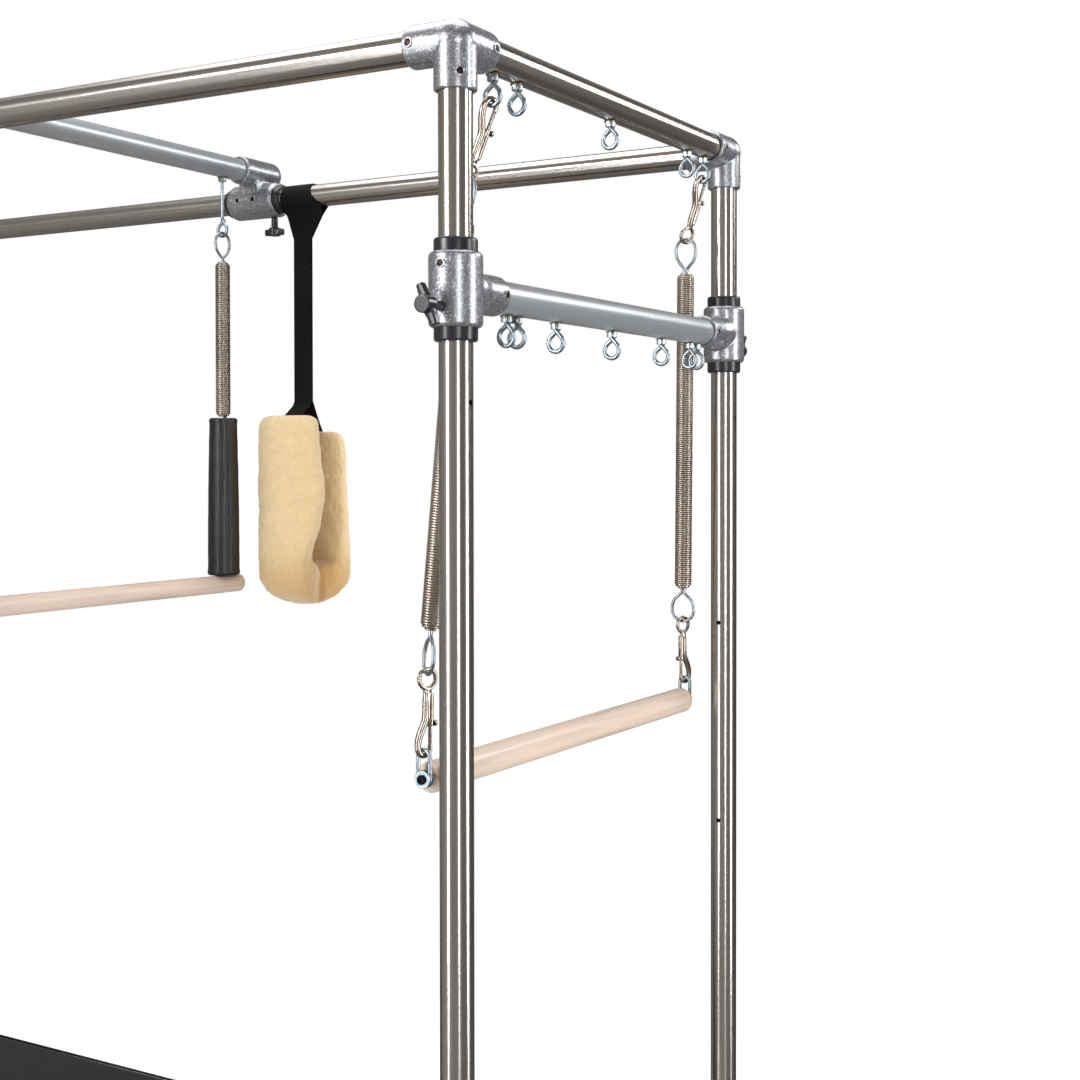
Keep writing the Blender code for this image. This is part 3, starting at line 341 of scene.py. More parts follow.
def brushed_stainless():
    """Stainless tube finished round its girth: each light is drawn out into a long stripe along it."""
    constants = {"Metallic": 1.0, "Anisotropic": 0.7, "Anisotropic_Rotation": 0.25}
    material, tree, shader = start_material("brushed_stainless_steel", **constants)
    grain = grain_of(tree, place_coordinates(tree, (1100, 1100, 9)), 1.0, 3.0)
    wear(tree, shader, clouded(tree, grain, "steel", 0.92, 1.05), spread(tree, grain, 0.20, 0.28))
    girth = add_node(tree, "ShaderNodeTangent", {"direction_type": "RADIAL", "axis": "Z"}).outputs["Tangent"]
    tree.links.new(girth, shader.inputs["Tangent"])
    return material


def polished_casting():
    """Tumbled and polished cast aluminium: bright, with 2 mm pits, light scuffs and soft clouding."""
    material, tree, shader = start_material("polished_cast_aluminium", Metallic=0.85)
    near = place_coordinates(tree)
    pits = grain_of(tree, near, 480.0, 4.0)
    clouds = grain_of(tree, near, 90.0, 4.0)
    scuffs = ramp(tree, pits, [(0.56, (0, 0, 0)), (0.66, (0.45, 0.45, 0.45))])
    colour = mixed_colour(tree, clouded(tree, clouds, "casting", 0.90, 1.05), scuffs, blend="ADD")
    wear(tree, shader, colour, spread(tree, pits, 0.26, 0.40, 0.3, 0.7))
    set_bump(tree, shader, worked_out(tree, "ADD", pits, clouds), 0.16, 0.0005)
    return material


def satin_anodised():
    """Drawn aluminium tube, etched and clear anodised: an even, milky sheen."""
    material, tree, shader = start_material("satin_anodised_aluminium", Metallic=0.65)
    grain = grain_of(tree, place_coordinates(tree, (700, 700, 12)), 1.0, 2.0)
    wear(tree, shader, clouded(tree, grain, "anodised", 0.95, 1.02), spread(tree, grain, 0.33, 0.42))
    return material


def moulded_nylon():
    """Glass-filled nylon from a lightly etched mould: near black with a broad soft highlight."""
    material, tree, shader = start_material("moulded_black_nylon", Roughness=0.28, IOR=1.53)
    near = place_coordinates(tree)
    wear(tree, shader, clouded(tree, grain_of(tree, near, 60.0, 2.0), "nylon", 0.85, 1.15, 0.35, 0.65))
    set_bump(tree, shader, grain_of(tree, near, 1600.0, 2.0), 0.12, 0.0002)
    return material


def plated(look):
    """Plated steel hardware: the colour clouds a little and the roughness varies with handling."""
    name, low, high, cells, bump = PLATINGS[look]
    material, tree, shader = start_material(name, Metallic=1.0)
    clouds = grain_of(tree, place_coordinates(tree), cells, 4.0)
    wear(tree, shader, clouded(tree, clouds, look, 0.78, 1.08), spread(tree, clouds, low, high, 0.3, 0.7))
    if bump:
        set_bump(tree, shader, clouds, bump, 0.0003)
    return material


def oiled_beech(along):
    """Steamed beech, planed and oiled: pale pink-brown with short dark rays along the grain."""
    constants = {"Roughness": 0.42, "Coat_Weight": 0.12}
    material, tree, shader = start_material(f"oiled_beech_along_{along.lower()}", **constants)
    long_scale, ray_scale = [70.0] * 3, [900.0] * 3
    long_scale["XYZ".index(along)] = 4.0
    ray_scale["XYZ".index(along)] = 160.0
    grain = grain_of(tree, place_coordinates(tree, long_scale), 1.0, 5.0, 0.6)
    inputs = {"Vector": place_coordinates(tree, ray_scale), "Scale": 1.0}
    rays = add_node(tree, "ShaderNodeTexVoronoi", {"feature": "F1"}, inputs).outputs["Distance"]
    beech = tone("beech")
    base = ramp(tree, grain, [(0.28, shade(beech, 0.80)), (0.5, beech), (0.72, shade(beech, 1.06))])
    flecks = ramp(tree, rays, [(0.08, (0.62, 0.52, 0.44)), (0.22, (1, 1, 1))])
    wear(tree, shader, mixed_colour(tree, base, flecks, 0.55, "MULTIPLY"))
    set_bump(tree, shader, grain, 0.08, 0.0004)
    return material


def black_vinyl():
    """Upholstery vinyl embossed with a 1.4 mm leather grain: black with a broken gloss."""
    constants = {"Roughness": 0.30, "IOR": 1.5, "Coat_Weight": 0.15}
    material, tree, shader = start_material("embossed_black_vinyl", **constants)
    near = place_coordinates(tree)
    inputs = {"Vector": near, "Scale": 720.0}
    feature = {"feature": "DISTANCE_TO_EDGE"}
    cells = add_node(tree, "ShaderNodeTexVoronoi", feature, inputs).outputs["Distance"]
    folds = grain_of(tree, near, 45.0, 4.0)
    wear(tree, shader, clouded(tree, folds, "vinyl", 0.7, 1.5))
    set_bump(tree, shader, worked_out(tree, "MULTIPLY_ADD", cells, 1.2, folds), 0.35, 0.0008)
    return material


def woven_webbing():
    """Flat nylon webbing: ribs along and across, which leave it a dull black without a highlight."""
    constants = {"Roughness": 0.9, "Specular_IOR_Level": 0.25}
    material, tree, shader = start_material("woven_black_webbing", **constants)
    near = place_coordinates(tree)
    inputs = {"Vector": near, "Scale": 98.0, "Distortion": 0.6, "Detail": 1.0}
    settings = {"bands_direction": "Z", "wave_profile": "SIN"}
    across = add_node(tree, "ShaderNodeTexWave", settings, inputs).outputs["Fac"]
    inputs = {"Vector": near, "Scale": 140.0, "Distortion": 0.3}
    settings = {"bands_direction": "X", "wave_profile": "TRI"}
    warp = add_node(tree, "ShaderNodeTexWave", settings, inputs).outputs["Fac"]
    weave = worked_out(tree, "MULTIPLY", across, warp)
    wear(tree, shader, clouded(tree, weave, "webbing", 0.5, 1.9, 0.0, 1.0))
    set_bump(tree, shader, weave, 0.5, 0.0006)
    return material


def sheepskin():
    """Shorn lambswool pile: cream, with a tan shade painted on low down and between the arms."""
    constants = {"Roughness": 0.95, "Sheen_Weight": 0.6, "Sheen_Roughness": 0.5}
    material, tree, shader = start_material("shorn_sheepskin", **constants)
    near = place_coordinates(tree)
    tufts = grain_of(tree, near, 130.0, 5.0)
    curls = grain_of(tree, near, 700.0, 3.0)
    # Painted shade: a share per point, set on the mesh, that turns the cream to the darker tan low down and
    # between the arms
    depth = add_node(tree, "ShaderNodeAttribute", {"attribute_name": "pile_depth"}).outputs["Fac"]
    cream = clouded(tree, tufts, "fleece", 0.93, 1.05)
    wear(tree, shader, mixed_colour(tree, cream, (*tone("fleece_painted_shade"), 1), depth))
    set_bump(tree, shader, worked_out(tree, "ADD", tufts, curls), 0.8, 0.0014)
    return material


def pale_floor():
    """A seamless white studio floor, lit through so that it meets the backdrop without a line."""
    constants = {"Roughness": 0.9, "Emission_Strength": 0.93, "Emission_Color": (1, 1, 1, 1)}
    material, tree, shader = start_material("white_studio_floor", **constants)
    clouds = grain_of(tree, place_coordinates(tree), 3.0, 2.0)
    wear(tree, shader, ramp(tree, clouds, [(0.2, (0.30, 0.30, 0.30)), (0.8, (0.32, 0.32, 0.32))]))
    return material


# Each plating's material, least and greatest roughness, clouds per metre and depth of grain
PLATINGS = {
    "zinc": ("bright_zinc_plate", 0.24, 0.40, 260.0, 0.1),
    "yellow_zinc": ("yellow_zinc_plate", 0.25, 0.40, 200.0, 0.1),
    "nickel": ("tumbled_nickel_plate", 0.20, 0.26, 40.0, 0.0),
    "spring": ("drawn_spring_wire", 0.34, 0.38, 15.0, 0.0),
    "loop": ("galvanised_loop_wire", 0.26, 0.42, 200.0, 0.1),
    "oxide": ("black_oxide_steel", 0.35, 0.50, 300.0, 0.1),
    "bronze": ("bronzed_set_screw", 0.25, 0.40, 300.0, 0.1),
}
MAKERS = {
    "steel": brushed_stainless, "casting": polished_casting, "anodised": satin_anodised,
    "nylon": moulded_nylon, "vinyl": black_vinyl, "webbing": woven_webbing, "sheepskin": sheepskin,
    "floor": pale_floor,
}
FINISHES = {}


def finish(name):
    """Each material is made once, when a piece first asks for it."""
    if name not in FINISHES:
        if name in PLATINGS:
            FINISHES[name] = plated(name)
        elif name.startswith("beech_"):
            FINISHES[name] = oiled_beech(name[-1].upper())
        else:
            FINISHES[name] = MAKERS[name]()
    return FINISHES[name]


def about(axis, degrees):
    return Matrix.Rotation(math.radians(degrees), 3, axis)


def placed(at=(0, 0, 0), turn=None):
    return Matrix.Translation(Vector(at)) @ (turn.to_4x4() if turn else Matrix.Identity(4))


def show(name, mesh, look, body, at=(0, 0, 0), turn=None, stands_for=()):
    """Put a finished mesh in the scene on its CAD body, in its material, in place of its CAD nodes."""
    obj = bpy.data.objects.new(name, mesh)
    bpy.context.collection.objects.link(obj)
    obj.matrix_world = placed(at, turn)
    if not mesh.materials:
        mesh.materials.append(finish(look))
    if body:
        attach(obj, body)
    if stands_for:
        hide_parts(*stands_for)
    return obj


def dress(node, mesh, look, body, at=(0, 0, 0), turn=None):
    """Show a finished mesh in place of one CAD node, and name it after that node."""
    return show(f"{node}_finished", mesh, look, body, at, turn, [node])


def closed(bm, name, sharp=40):
    """Turn a bmesh into a smooth mesh that faces outwards and keeps its hard edges."""
    bmesh.ops.remove_doubles(bm, verts=bm.verts, dist=1e-7)
    bmesh.ops.recalc_face_normals(bm, faces=bm.faces)
    mesh = bpy.data.meshes.new(name)
    bm.to_mesh(mesh)
    bm.free()
    mesh.shade_smooth()
    if sharp < 180:
        mesh.set_sharp_from_angle(angle=math.radians(sharp))
    return mesh


def skin(rings, name="skin", ends=True, sharp=40):
    """Skin rings of equal counts into one surface, closed by a face at each end or joined end to end."""
    bm = bmesh.new()
    loops = [[bm.verts.new(place) for place in ring] for ring in rings]
    count = len(rings[0])
    pairs = list(zip(loops, loops[1:]))
    if not ends:
        pairs.append((loops[-1], loops[0]))
    for first, second in pairs:
        for index in range(count):
            after = (index + 1) % count
            bm.faces.new((first[index], first[after], second[after], second[index]))
    if ends:
        bm.faces.new(loops[0])
        bm.faces.new(loops[-1])
    return closed(bm, name, sharp)


def turned(rings, count=48, name="turned", hollow=False, sharp=40):
    """Skin rings round Z. Each ring is (radius, height), and a radius may be a function of the angle."""
    angles = [2 * math.pi * index / count for index in range(count)]
    places = []
    for radius, height in rings:
        reaches = [radius(angle) if callable(radius) else radius for angle in angles]
        places.append([(reach * math.cos(angle), reach * math.sin(angle), height)
                       for reach, angle in zip(reaches, angles)])
    return skin(places, name, not hollow, sharp)


def hexagon(across, limit=1.0):
    """The outline of a hexagon across its flats, rounded off at a largest radius."""
    def reach(angle):
        return min(limit, across / 2 / math.cos((angle % (math.pi / 3)) - math.pi / 6))
    return reach


def round_bar(radius, low, high, count=64):
    """A plain round bar along Z."""
    return turned([(radius, low), (radius, high)], count)


def circle(radius, count):
    """Points round a circle, as (x, y)."""
    angles = [2 * math.pi * step / count for step in range(count)]
    return [(radius * math.cos(angle), radius * math.sin(angle)) for angle in angles]


def limited(value):
    """The value, kept between 0 and 1."""
    return min(1.0, max(0.0, value))


def flattened(value, power):
    """A cosine or sine raised to a power with its sign kept, which squares up a round section."""
    return math.copysign(abs(value) ** power, value)


def eased_rod(radius, low, high, ease, steps=4):
    """Rings of a solid round bar whose two end edges are rounded off."""
    lower, upper = [], []
    for step in range(steps + 1):
        angle = math.pi / 2 * step / steps
        inset, rise = ease * (1 - math.sin(angle)), ease * (1 - math.cos(angle))
        lower.append((radius - inset, low + rise))
        upper.append((radius - inset, high - rise))
    return lower + upper[::-1]


def tube_rings(outer, inner, low, high, ease=0.0004):
    """Rings of a tube whose outer end edges are a little rounded."""
    return [(inner, low), (outer - ease, low), (outer, low + ease),
            (outer, high - ease), (outer - ease, high), (inner, high)]


def swept(points, radii, count=10, ring=False, name="swept", sharp=60):
    """A round wire along points, with one radius or one for each point. A ring closes on itself."""
    points = [Vector(point) for point in points]
    if not hasattr(radii, "__len__"):
        radii = [radii] * len(points)
    total = len(points)
    rings = []
    side = None
    for index, place in enumerate(points):
        before = points[index - 1] if index or ring else place
        after = points[(index + 1) % total] if index < total - 1 or ring else place
        along = (after - before).normalized()
        if side is None:
            side = along.orthogonal().normalized()
        side = (side - along * side.dot(along)).normalized()
        other = along.cross(side)
        rings.append([place + (side * c + other * s) * radii[index] for c, s in circle(1, count)])
    if ring:
        shift = min(range(count), key=lambda turn: (rings[-1][turn] - rings[0][0]).length)
        rings = align_ring(rings, shift)
    return skin(rings, name, not ring, sharp)


def align_ring(rings, shift):
    """Spread the twist that a closed sweep gathers over its whole length, in whole steps."""
    count = len(rings[0])
    if shift > count / 2:
        shift -= count
    total = len(rings)
    result = []
    for index, section in enumerate(rings):
        turn = round(shift * index / total) % count
        result.append(section[turn:] + section[:turn])
    return result


def box_mesh(low, high):
    bm = bmesh.new()
    bmesh.ops.create_cube(bm, size=1)
    bmesh.ops.scale(bm, verts=bm.verts, vec=Vector(high) - Vector(low))
    bmesh.ops.translate(bm, verts=bm.verts, vec=(Vector(high) + Vector(low)) / 2)
    return closed(bm, "box")


def moved(mesh, at=(0, 0, 0), turn=None):
    copy = mesh.copy()
    copy.transform(placed(at, turn))
    return copy


def mirrored(mesh, sy):
    copy = mesh.copy()
    if sy > 0:
        copy.transform(Matrix.Diagonal((1, -1, 1, 1)))
        copy.flip_normals()
    return copy


def applied(obj):
    """The object's mesh with its modifiers applied. The object itself is removed."""
    graph = bpy.context.evaluated_depsgraph_get()
    graph.update()
    mesh = bpy.data.meshes.new_from_object(obj.evaluated_get(graph))
    bpy.data.objects.remove(obj, do_unlink=True)
    return mesh


def holder_of(mesh):
    obj = bpy.data.objects.new("holder", mesh)
    bpy.context.collection.objects.link(obj)
    return obj


def carved(solids, cuts=(), cell=None, passes=6, name="carved", sharp=40):
    """Join solids and cut others out. With a cell size, the edges are then blended as in a casting."""
    base = holder_of(solids[0])
    tools = []
    for index, mesh in enumerate(list(solids[1:]) + list(cuts), start=1):
        tool = holder_of(mesh)
        tools.append(tool)
        step = base.modifiers.new("step", "BOOLEAN")
        step.object = tool
        step.solver = "EXACT"
        step.operation = "UNION" if index < len(solids) else "DIFFERENCE"
    if cell:
        blend = base.modifiers.new("blend", "REMESH")
        blend.mode = "VOXEL"
        blend.voxel_size = cell
        blend.use_smooth_shade = True
        soften = base.modifiers.new("soften", "SMOOTH")
        soften.factor = 0.5
        soften.iterations = passes
    mesh = applied(base)
    for tool in tools:
        bpy.data.objects.remove(tool, do_unlink=True)
    mesh.materials.clear()
    mesh.shade_smooth()
    if not cell:
        mesh.set_sharp_from_angle(angle=math.radians(sharp))
    mesh.name = name
    return mesh


def together(meshes, name="together"):
    """Several closed meshes as one mesh, each with its own finish, given as (mesh, finish name)."""
    bm = bmesh.new()
    looks = []
    for mesh, look in meshes:
        if look not in looks:
            looks.append(look)
        first = len(bm.faces)
        bm.from_mesh(mesh)
        bm.faces.ensure_lookup_table()
        for face in bm.faces[first:]:
            face.material_index = looks.index(look)
            face.smooth = True
    joined = bpy.data.meshes.new(name)
    bm.to_mesh(joined)
    bm.free()
    for look in looks:
        joined.materials.append(finish(look))
    joined.set_sharp_from_angle(angle=math.radians(40))
    return joined


def eased_box(low, high, edge=0.003, segments=3):
    obj = holder_of(box_mesh(low, high))
    step = obj.modifiers.new("ease", "BEVEL")
    step.width = edge
    step.segments = segments
    mesh = applied(obj)
    mesh.shade_smooth()
    mesh.set_sharp_from_angle(angle=math.radians(50))
    return mesh


def set_screw_mesh():
    """A hexagon-socket screw in a raised ring. Its seat is at the origin, facing +Z."""
    ring = turned([(0.0038, -0.003), (0.0058, -0.003), (0.0058, 0.0008), (0.0053, 0.0014), (0.0044, 0.0015),
                   (0.0038, 0.0010)], 32, hollow=True)
    socket = hexagon(SET_SCREW_SOCKET)
    screw = turned([(0.0001, -0.0020), (0.0037, -0.0020), (0.0037, 0.0006), (0.0033, 0.0009),
                    (socket, 0.0009), (socket, 0.0002), (0.0001, 0.0001)], 36)
    return together([(ring, "casting"), (screw, "bronze")], "set_screw")


def eyebolt_mesh(drop=EYE_DROP):
    """A bent-rod eyebolt with its hexagon nut and washer, hung from a tube on the origin."""
    start = -TUBE_R + 0.006
    cross = 1.345 * EYE_RING_R - drop
    points = [(0, 0, start), (0, 0, (start + cross) / 2), (0, 0, cross + 0.0075),
              (0, -0.0006, cross + 0.0035), (EYE_SIDEWAYS[0], EYE_SIDEWAYS[1], cross)]
    for step in range(30):
        angle = math.radians(44 - 268 * step / 29)
        deep = EYE_SIDEWAYS[1] * (1 - 2 * step / 29)
        points.append((EYE_RING_R * math.cos(angle), deep, EYE_RING_R * math.sin(angle) - drop))
    points += [(-0.0030, 0.0020, cross - 0.0028), (0.0006, 0.0024, cross + 0.0006),
               (0.0030, 0.0026, cross + 0.0028)]
    radii = [EYE_WIRE_R] * (len(points) - 1) + [EYE_WIRE_R * 0.9]
    rod = swept(points, radii, 14, name="eye_rod")
    top = -TUBE_R - GAP
    under = top - WASHER_T
    washer = turned([(0.0032, under), (0.0080, under), (0.0083, top - 0.0006), (0.0080, top),
                     (0.0032, top)], 40, hollow=True)
    low = under - NUT_HEIGHT
    corner, chamfered = hexagon(NUT_ACROSS, 0.0070), hexagon(NUT_ACROSS, 0.0064)
    nut = turned([(0.0029, low), (chamfered, low), (corner, low + NUT_CHAMFER),
                  (corner, low + NUT_HEIGHT - NUT_CHAMFER), (chamfered, low + NUT_HEIGHT),
                  (0.0029, low + NUT_HEIGHT)], 48, hollow=True, sharp=25)
    return together([(rod, "zinc"), (washer, "yellow_zinc"), (nut, "zinc")], "eyebolt")


def knob_mesh(hub_start, hub_end, span, wing_low, wing_high):
    """A moulded wing knob and its screw. The screw's tip is at the origin and the hub looks up +Z."""
    hub = turned(eased_rod(0.0098, hub_start, hub_end, 0.0012), 40)
    neck = turned([(0.0055, TEE_R - TUBE_R), (0.0060, hub_start + 0.002)], 32)
    solids = [hub, neck]
    centre = (wing_low + wing_high) / 2
    # Each section of a wing: its share of the reach, its width and its share of the depth
    sections = ((0.0, 0.0135, 1.0), (0.45, 0.0125, 1.0), (0.60, 0.0105, 0.98), (0.94, 0.0092, 0.94),
                (1.0, 0.0078, 0.80))
    for sign in (-1, 1):
        rings = []
        for share, width, thick in sections:
            x = sign * span / 2 * share
            deep = (wing_high - wing_low) / 2 * thick
            rings.append([(x, width / 2 * flattened(c, 0.45), centre + deep * flattened(s, 0.45))
                          for c, s in circle(1, 12)])
        solids.append(skin(rings))
    body = carved(solids, cell=0.0006, passes=3, name="knob")
    screw = turned(eased_rod(0.0039, 0.0002, TEE_R - TUBE_R + 0.004, 0.0006), 24)
    return together([(body, "nylon"), (screw, "oxide")], "knob")


def casting_arm(radius, reach):
    return turned(eased_rod(radius, 0, reach, 0.0015), 64)


def tap_for_knob():
    """The threaded hole through a casting's wall, along +Z."""
    return round_bar(TAP_R, TUBE_R - 0.004, TEE_R + 0.004, 24)


def corner_mesh():
    """A three-way corner casting with a domed outside and sockets along +X, +Y and -Z."""
    arms = ((CORNER_REACH, about("Y", 90)), (CORNER_REACH, about("X", -90)), (CORNER_DROP, about("X", 180)))
    steps = 16
    angles = [math.pi * step / steps for step in range(steps + 1)]
    ball = [(max(0.0002, CORNER_DOME_R * math.sin(angle)), CORNER_DOME_R * math.cos(angle))
            for angle in angles]
    solids = [moved(turned(ball, 64), turn=about("Z", 3) @ about("X", 7))]
    solids += [moved(casting_arm(CORNER_R, reach), turn=turn) for reach, turn in arms]
    socket = round_bar(TUBE_R + GAP, CORNER_STOP, CORNER_REACH + 0.01)
    cuts = [moved(socket, turn=turn) for _, turn in arms]
    return carved(solids, cuts, sizes().casting_grain, 4, "corner")


def tee_mesh():
    """The crossbar's tee casting: a barrel on the upright, and a socket along +Y with a filleted root."""
    sideways = about("X", -90)
    barrel = turned(eased_rod(TEE_R, -TEE_HALF, TEE_HALF, BARREL_EASE, 6), 72)
    arm = casting_arm(OUTLET_R, OUTLET_REACH)
    root = turned([(OUTLET_R + 0.003, 0.012), (OUTLET_R + 0.0025, 0.026), (OUTLET_R, 0.040)], 64)
    through = round_bar(BUSH_R + GAP, -TEE_HALF - 0.01, TEE_HALF + 0.01)
    blind = round_bar(TUBE_R + GAP, OUTLET_STOP, OUTLET_REACH + 0.01)
    tap = moved(tap_for_knob(), (0, 0, -KNOB_OFFSET), about("X", 90))
    solids = [barrel, moved(arm, turn=sideways), moved(root, turn=sideways)]
    return carved(solids, [through, moved(blind, turn=sideways), tap], sizes().casting_grain, 5, "tee")


def slider_tee_mesh():
    """The slider's crossover casting: a barrel on the long rail and a blind socket above it along Y."""
    lengthways = about("Y", 90)
    barrel = turned(eased_rod(TEE_R, -SLIDER_HALF, SLIDER_HALF, BARREL_EASE, 6), 72)
    root = SLIDER_SOCKET_OUT - SLIDER_CAP_DEPTH
    rings = [(CORNER_R - 0.0015, -SLIDER_SOCKET_IN), (CORNER_R, -SLIDER_SOCKET_IN + 0.0015), (CORNER_R, root)]
    for step in range(1, 7):
        angle = math.pi / 2 * step / 6
        radius = max(0.0004, CORNER_R * math.cos(angle) ** 0.7)
        rings.append((radius, root + SLIDER_CAP_DEPTH * math.sin(angle)))
    cup = moved(turned(rings, 64), (0, 0, SLIDER_RISE), about("X", 90))
    web = box_mesh((-0.020, -TEE_R + 0.005, 0.006), (0.020, TEE_R - 0.002, SLIDER_RISE))
    through = round_bar(BUSH_R + GAP, -SLIDER_HALF - 0.02, SLIDER_HALF + 0.02)
    blind = round_bar(TUBE_R + GAP, -SLIDER_TUBE_OVER - GAP, SLIDER_SOCKET_IN + 0.01)
    blind = moved(blind, (0, 0, SLIDER_RISE), about("X", -90))
    tap = moved(tap_for_knob(), (SLIDER_KNOB_OFFSET, 0, 0), about("X", 180))
    cuts = [moved(through, turn=lengthways), blind, tap]
    solids = [moved(barrel, turn=lengthways), cup, web]
    return carved(solids, cuts, sizes().casting_grain, 5, "slider_tee")


def bush_mesh(half, over):
    """The black sleeve between a casting and its tube, with an eased rim at each end."""
    reach = half + over
    ease = 0.0014
    inner, chamfer = TUBE_R + GAP, 0.0006
    rim = [(inner, -reach + chamfer), (inner + chamfer, -reach), (BUSH_R - ease, -reach),
           (BUSH_R - 0.0003, -reach + ease), (BUSH_R, -reach + 2 * ease)]
    rings = rim + [(radius, -height) for radius, height in reversed(rim)]
    return turned(rings, 72, hollow=True, sharp=60)


def spring_coil(length, wire, name):
    """A close-wound coil from the origin down -Z, drawn in at both ends like a real extension spring."""
    pitch = wire * 1.012
    steps = 22
    total = int((length - wire) / pitch * steps)
    points = []
    for index in range(total + 1):
        angle = 2 * math.pi * index / steps
        share = min(1.0, min(index, total - index) / steps / COIL_NECK_TURNS)
        reach = (COIL_R - wire / 2) * (COIL_NECK + (1 - COIL_NECK) * math.sin(math.pi / 2 * share))
        points.append((reach * math.cos(angle), reach * math.sin(angle), -wire / 2 - pitch * index / steps))
    return swept(points, wire / 2, 8, name=name)


def loop_points(turn):
    """The wire end loop's route from its free end round to its neck, its crown at the origin."""
    side = [(0.0019, LOOP_LENGTH + 0.006), (0.0019, 0.0465), (0.0024, 0.0430), (0.0062, 0.0392),
            (0.0125, 0.0335), (0.0164, 0.0265)]
    flat = list(side)
    for step in range(17):
        angle = math.pi * step / 16
        flat.append((LOOP_R * math.cos(angle), LOOP_R - LOOP_R * math.sin(angle)))
    flat += [(-u, w) for u, w in reversed(side)]
    points = []
    for u, w in smoothed(flat):
        deep = math.copysign(0.0012, u) * limited((w - 0.036) / 0.008)
        points.append(Vector((u * math.cos(turn) - deep * math.sin(turn),
                              u * math.sin(turn) + deep * math.cos(turn), -w)))
    return points


def smoothed(points):
    """Cut the corners of an open route twice over, so that it bends evenly."""
    for _ in range(2):
        finer = [points[0]]
        for first, second in zip(points, points[1:]):
            finer.append(tuple(a * 0.75 + b * 0.25 for a, b in zip(first, second)))
            finer.append(tuple(a * 0.25 + b * 0.75 for a, b in zip(first, second)))
        finer.append(points[-1])
        points = finer
    return points


def loop_mesh(turn):
    return swept(loop_points(turn), LOOP_WIRE_R, 12, name="spring_loop")


def basis(along, flat):
    """Three unit axes: the third against along, the first as near flat as it can be."""
    third = -along.normalized()
    first = (flat - third * flat.dot(third)).normalized()
    second = third.cross(first)
    return Matrix((first, second, third)).transposed()


def snap_frame(eye, apex, turn):
    """The rotation that puts a snap's eye-to-hook line on eye-to-apex, with its flat along turn."""
    local = Vector((SNAP_HOOK_U, 0, -(SNAP_HOOK_W + SNAP_HOOK_R))).normalized()
    spin = basis(apex - eye, Vector((math.cos(turn), math.sin(turn), 0)))
    return spin @ basis(local, Vector((1, 0, 0))).transposed()


def snap_mesh():
    """A cast bolt-snap with its swivel eye at the origin and its hook towards -Z, in the XZ plane."""
    eye = swept([(x, 0, z) for x, z in circle(SNAP_EYE_R, 64)], SNAP_EYE_WIRE_R, 28, ring=True)
    left, right = SNAP_HOOK_U - SNAP_HOOK_R, SNAP_HOOK_U + SNAP_HOOK_R
    throat = skin([lozenge(centre, half, deep, -w) for w, centre, half, deep in SNAP_THROAT])
    route = [*SNAP_SHANK, (left - 0.0004, 0.073, 0.0038), (left - 0.0002, SNAP_HOOK_W, 0.0036)]
    for step in range(1, 12):
        angle = math.pi * step / 12
        width = 0.0036 - 0.0008 * step / 12
        route.append((SNAP_HOOK_U - SNAP_HOOK_R * math.cos(angle),
                      SNAP_HOOK_W + SNAP_HOOK_R * math.sin(angle), width))
    route += [(right, SNAP_HOOK_W, 0.0027), (right, SNAP_TIP_W, 0.0025)]
    route = smoothed(route)
    hook = swept([(u, 0, -w) for u, w, _ in route], [radius for _, _, radius in route], 40)
    barrel = moved(turned(eased_rod(SNAP_BARREL_R, -0.0535, -0.0165, 0.0012), 48), (right, 0, 0))
    bolt_hole = moved(round_bar(SNAP_BOLT_R + GAP, -0.060, -0.0335, 20), (right, 0, 0))
    peg_slot = box_mesh((right, -0.0017, -0.0518), (right + 0.008, 0.0017, -0.0363))
    return carved([eye, throat, hook, barrel], [bolt_hole, peg_slot], 0.0004, 26, "snap")


def lozenge(centre, half, deep, z):
    """One flattened section of a casting, from its middle, half width and half depth."""
    return [(centre + half * c, deep * s, z) for c, s in circle(1, 48)]


def snap_bolt_mesh():
    """The snap's sprung bolt and its thumb knob."""
    right = SNAP_HOOK_U + SNAP_HOOK_R
    rings = eased_rod(SNAP_BOLT_R, -(SNAP_TIP_W - GAP), -0.046, 0.0005)
    pin = moved(turned(rings, 20), (right, 0, 0))
    peg = round_bar(0.0014, 0.0, 0.0060, 16)
    cap = turned([(0.0020, 0.0043), (0.0033, 0.0047), (0.0035, 0.0056), (0.0035, 0.0074),
                  (0.0030, 0.0081)], 24)
    side = about("Y", 90)
    at = (right, 0, -0.050)
    return carved([pin, moved(peg, at, side), moved(cap, at, side)], name="snap_bolt")


def cap_screw_head(across, radius, height):
    """A socket cap screw's head from z 0 up, with its hexagon recess."""
    socket = hexagon(across)
    return turned([(radius, 0.0), (radius, height - 0.0006), (radius - 0.0006, height), (socket, height),
                   (socket, height * 0.45), (0.0002, height * 0.42)], 48)


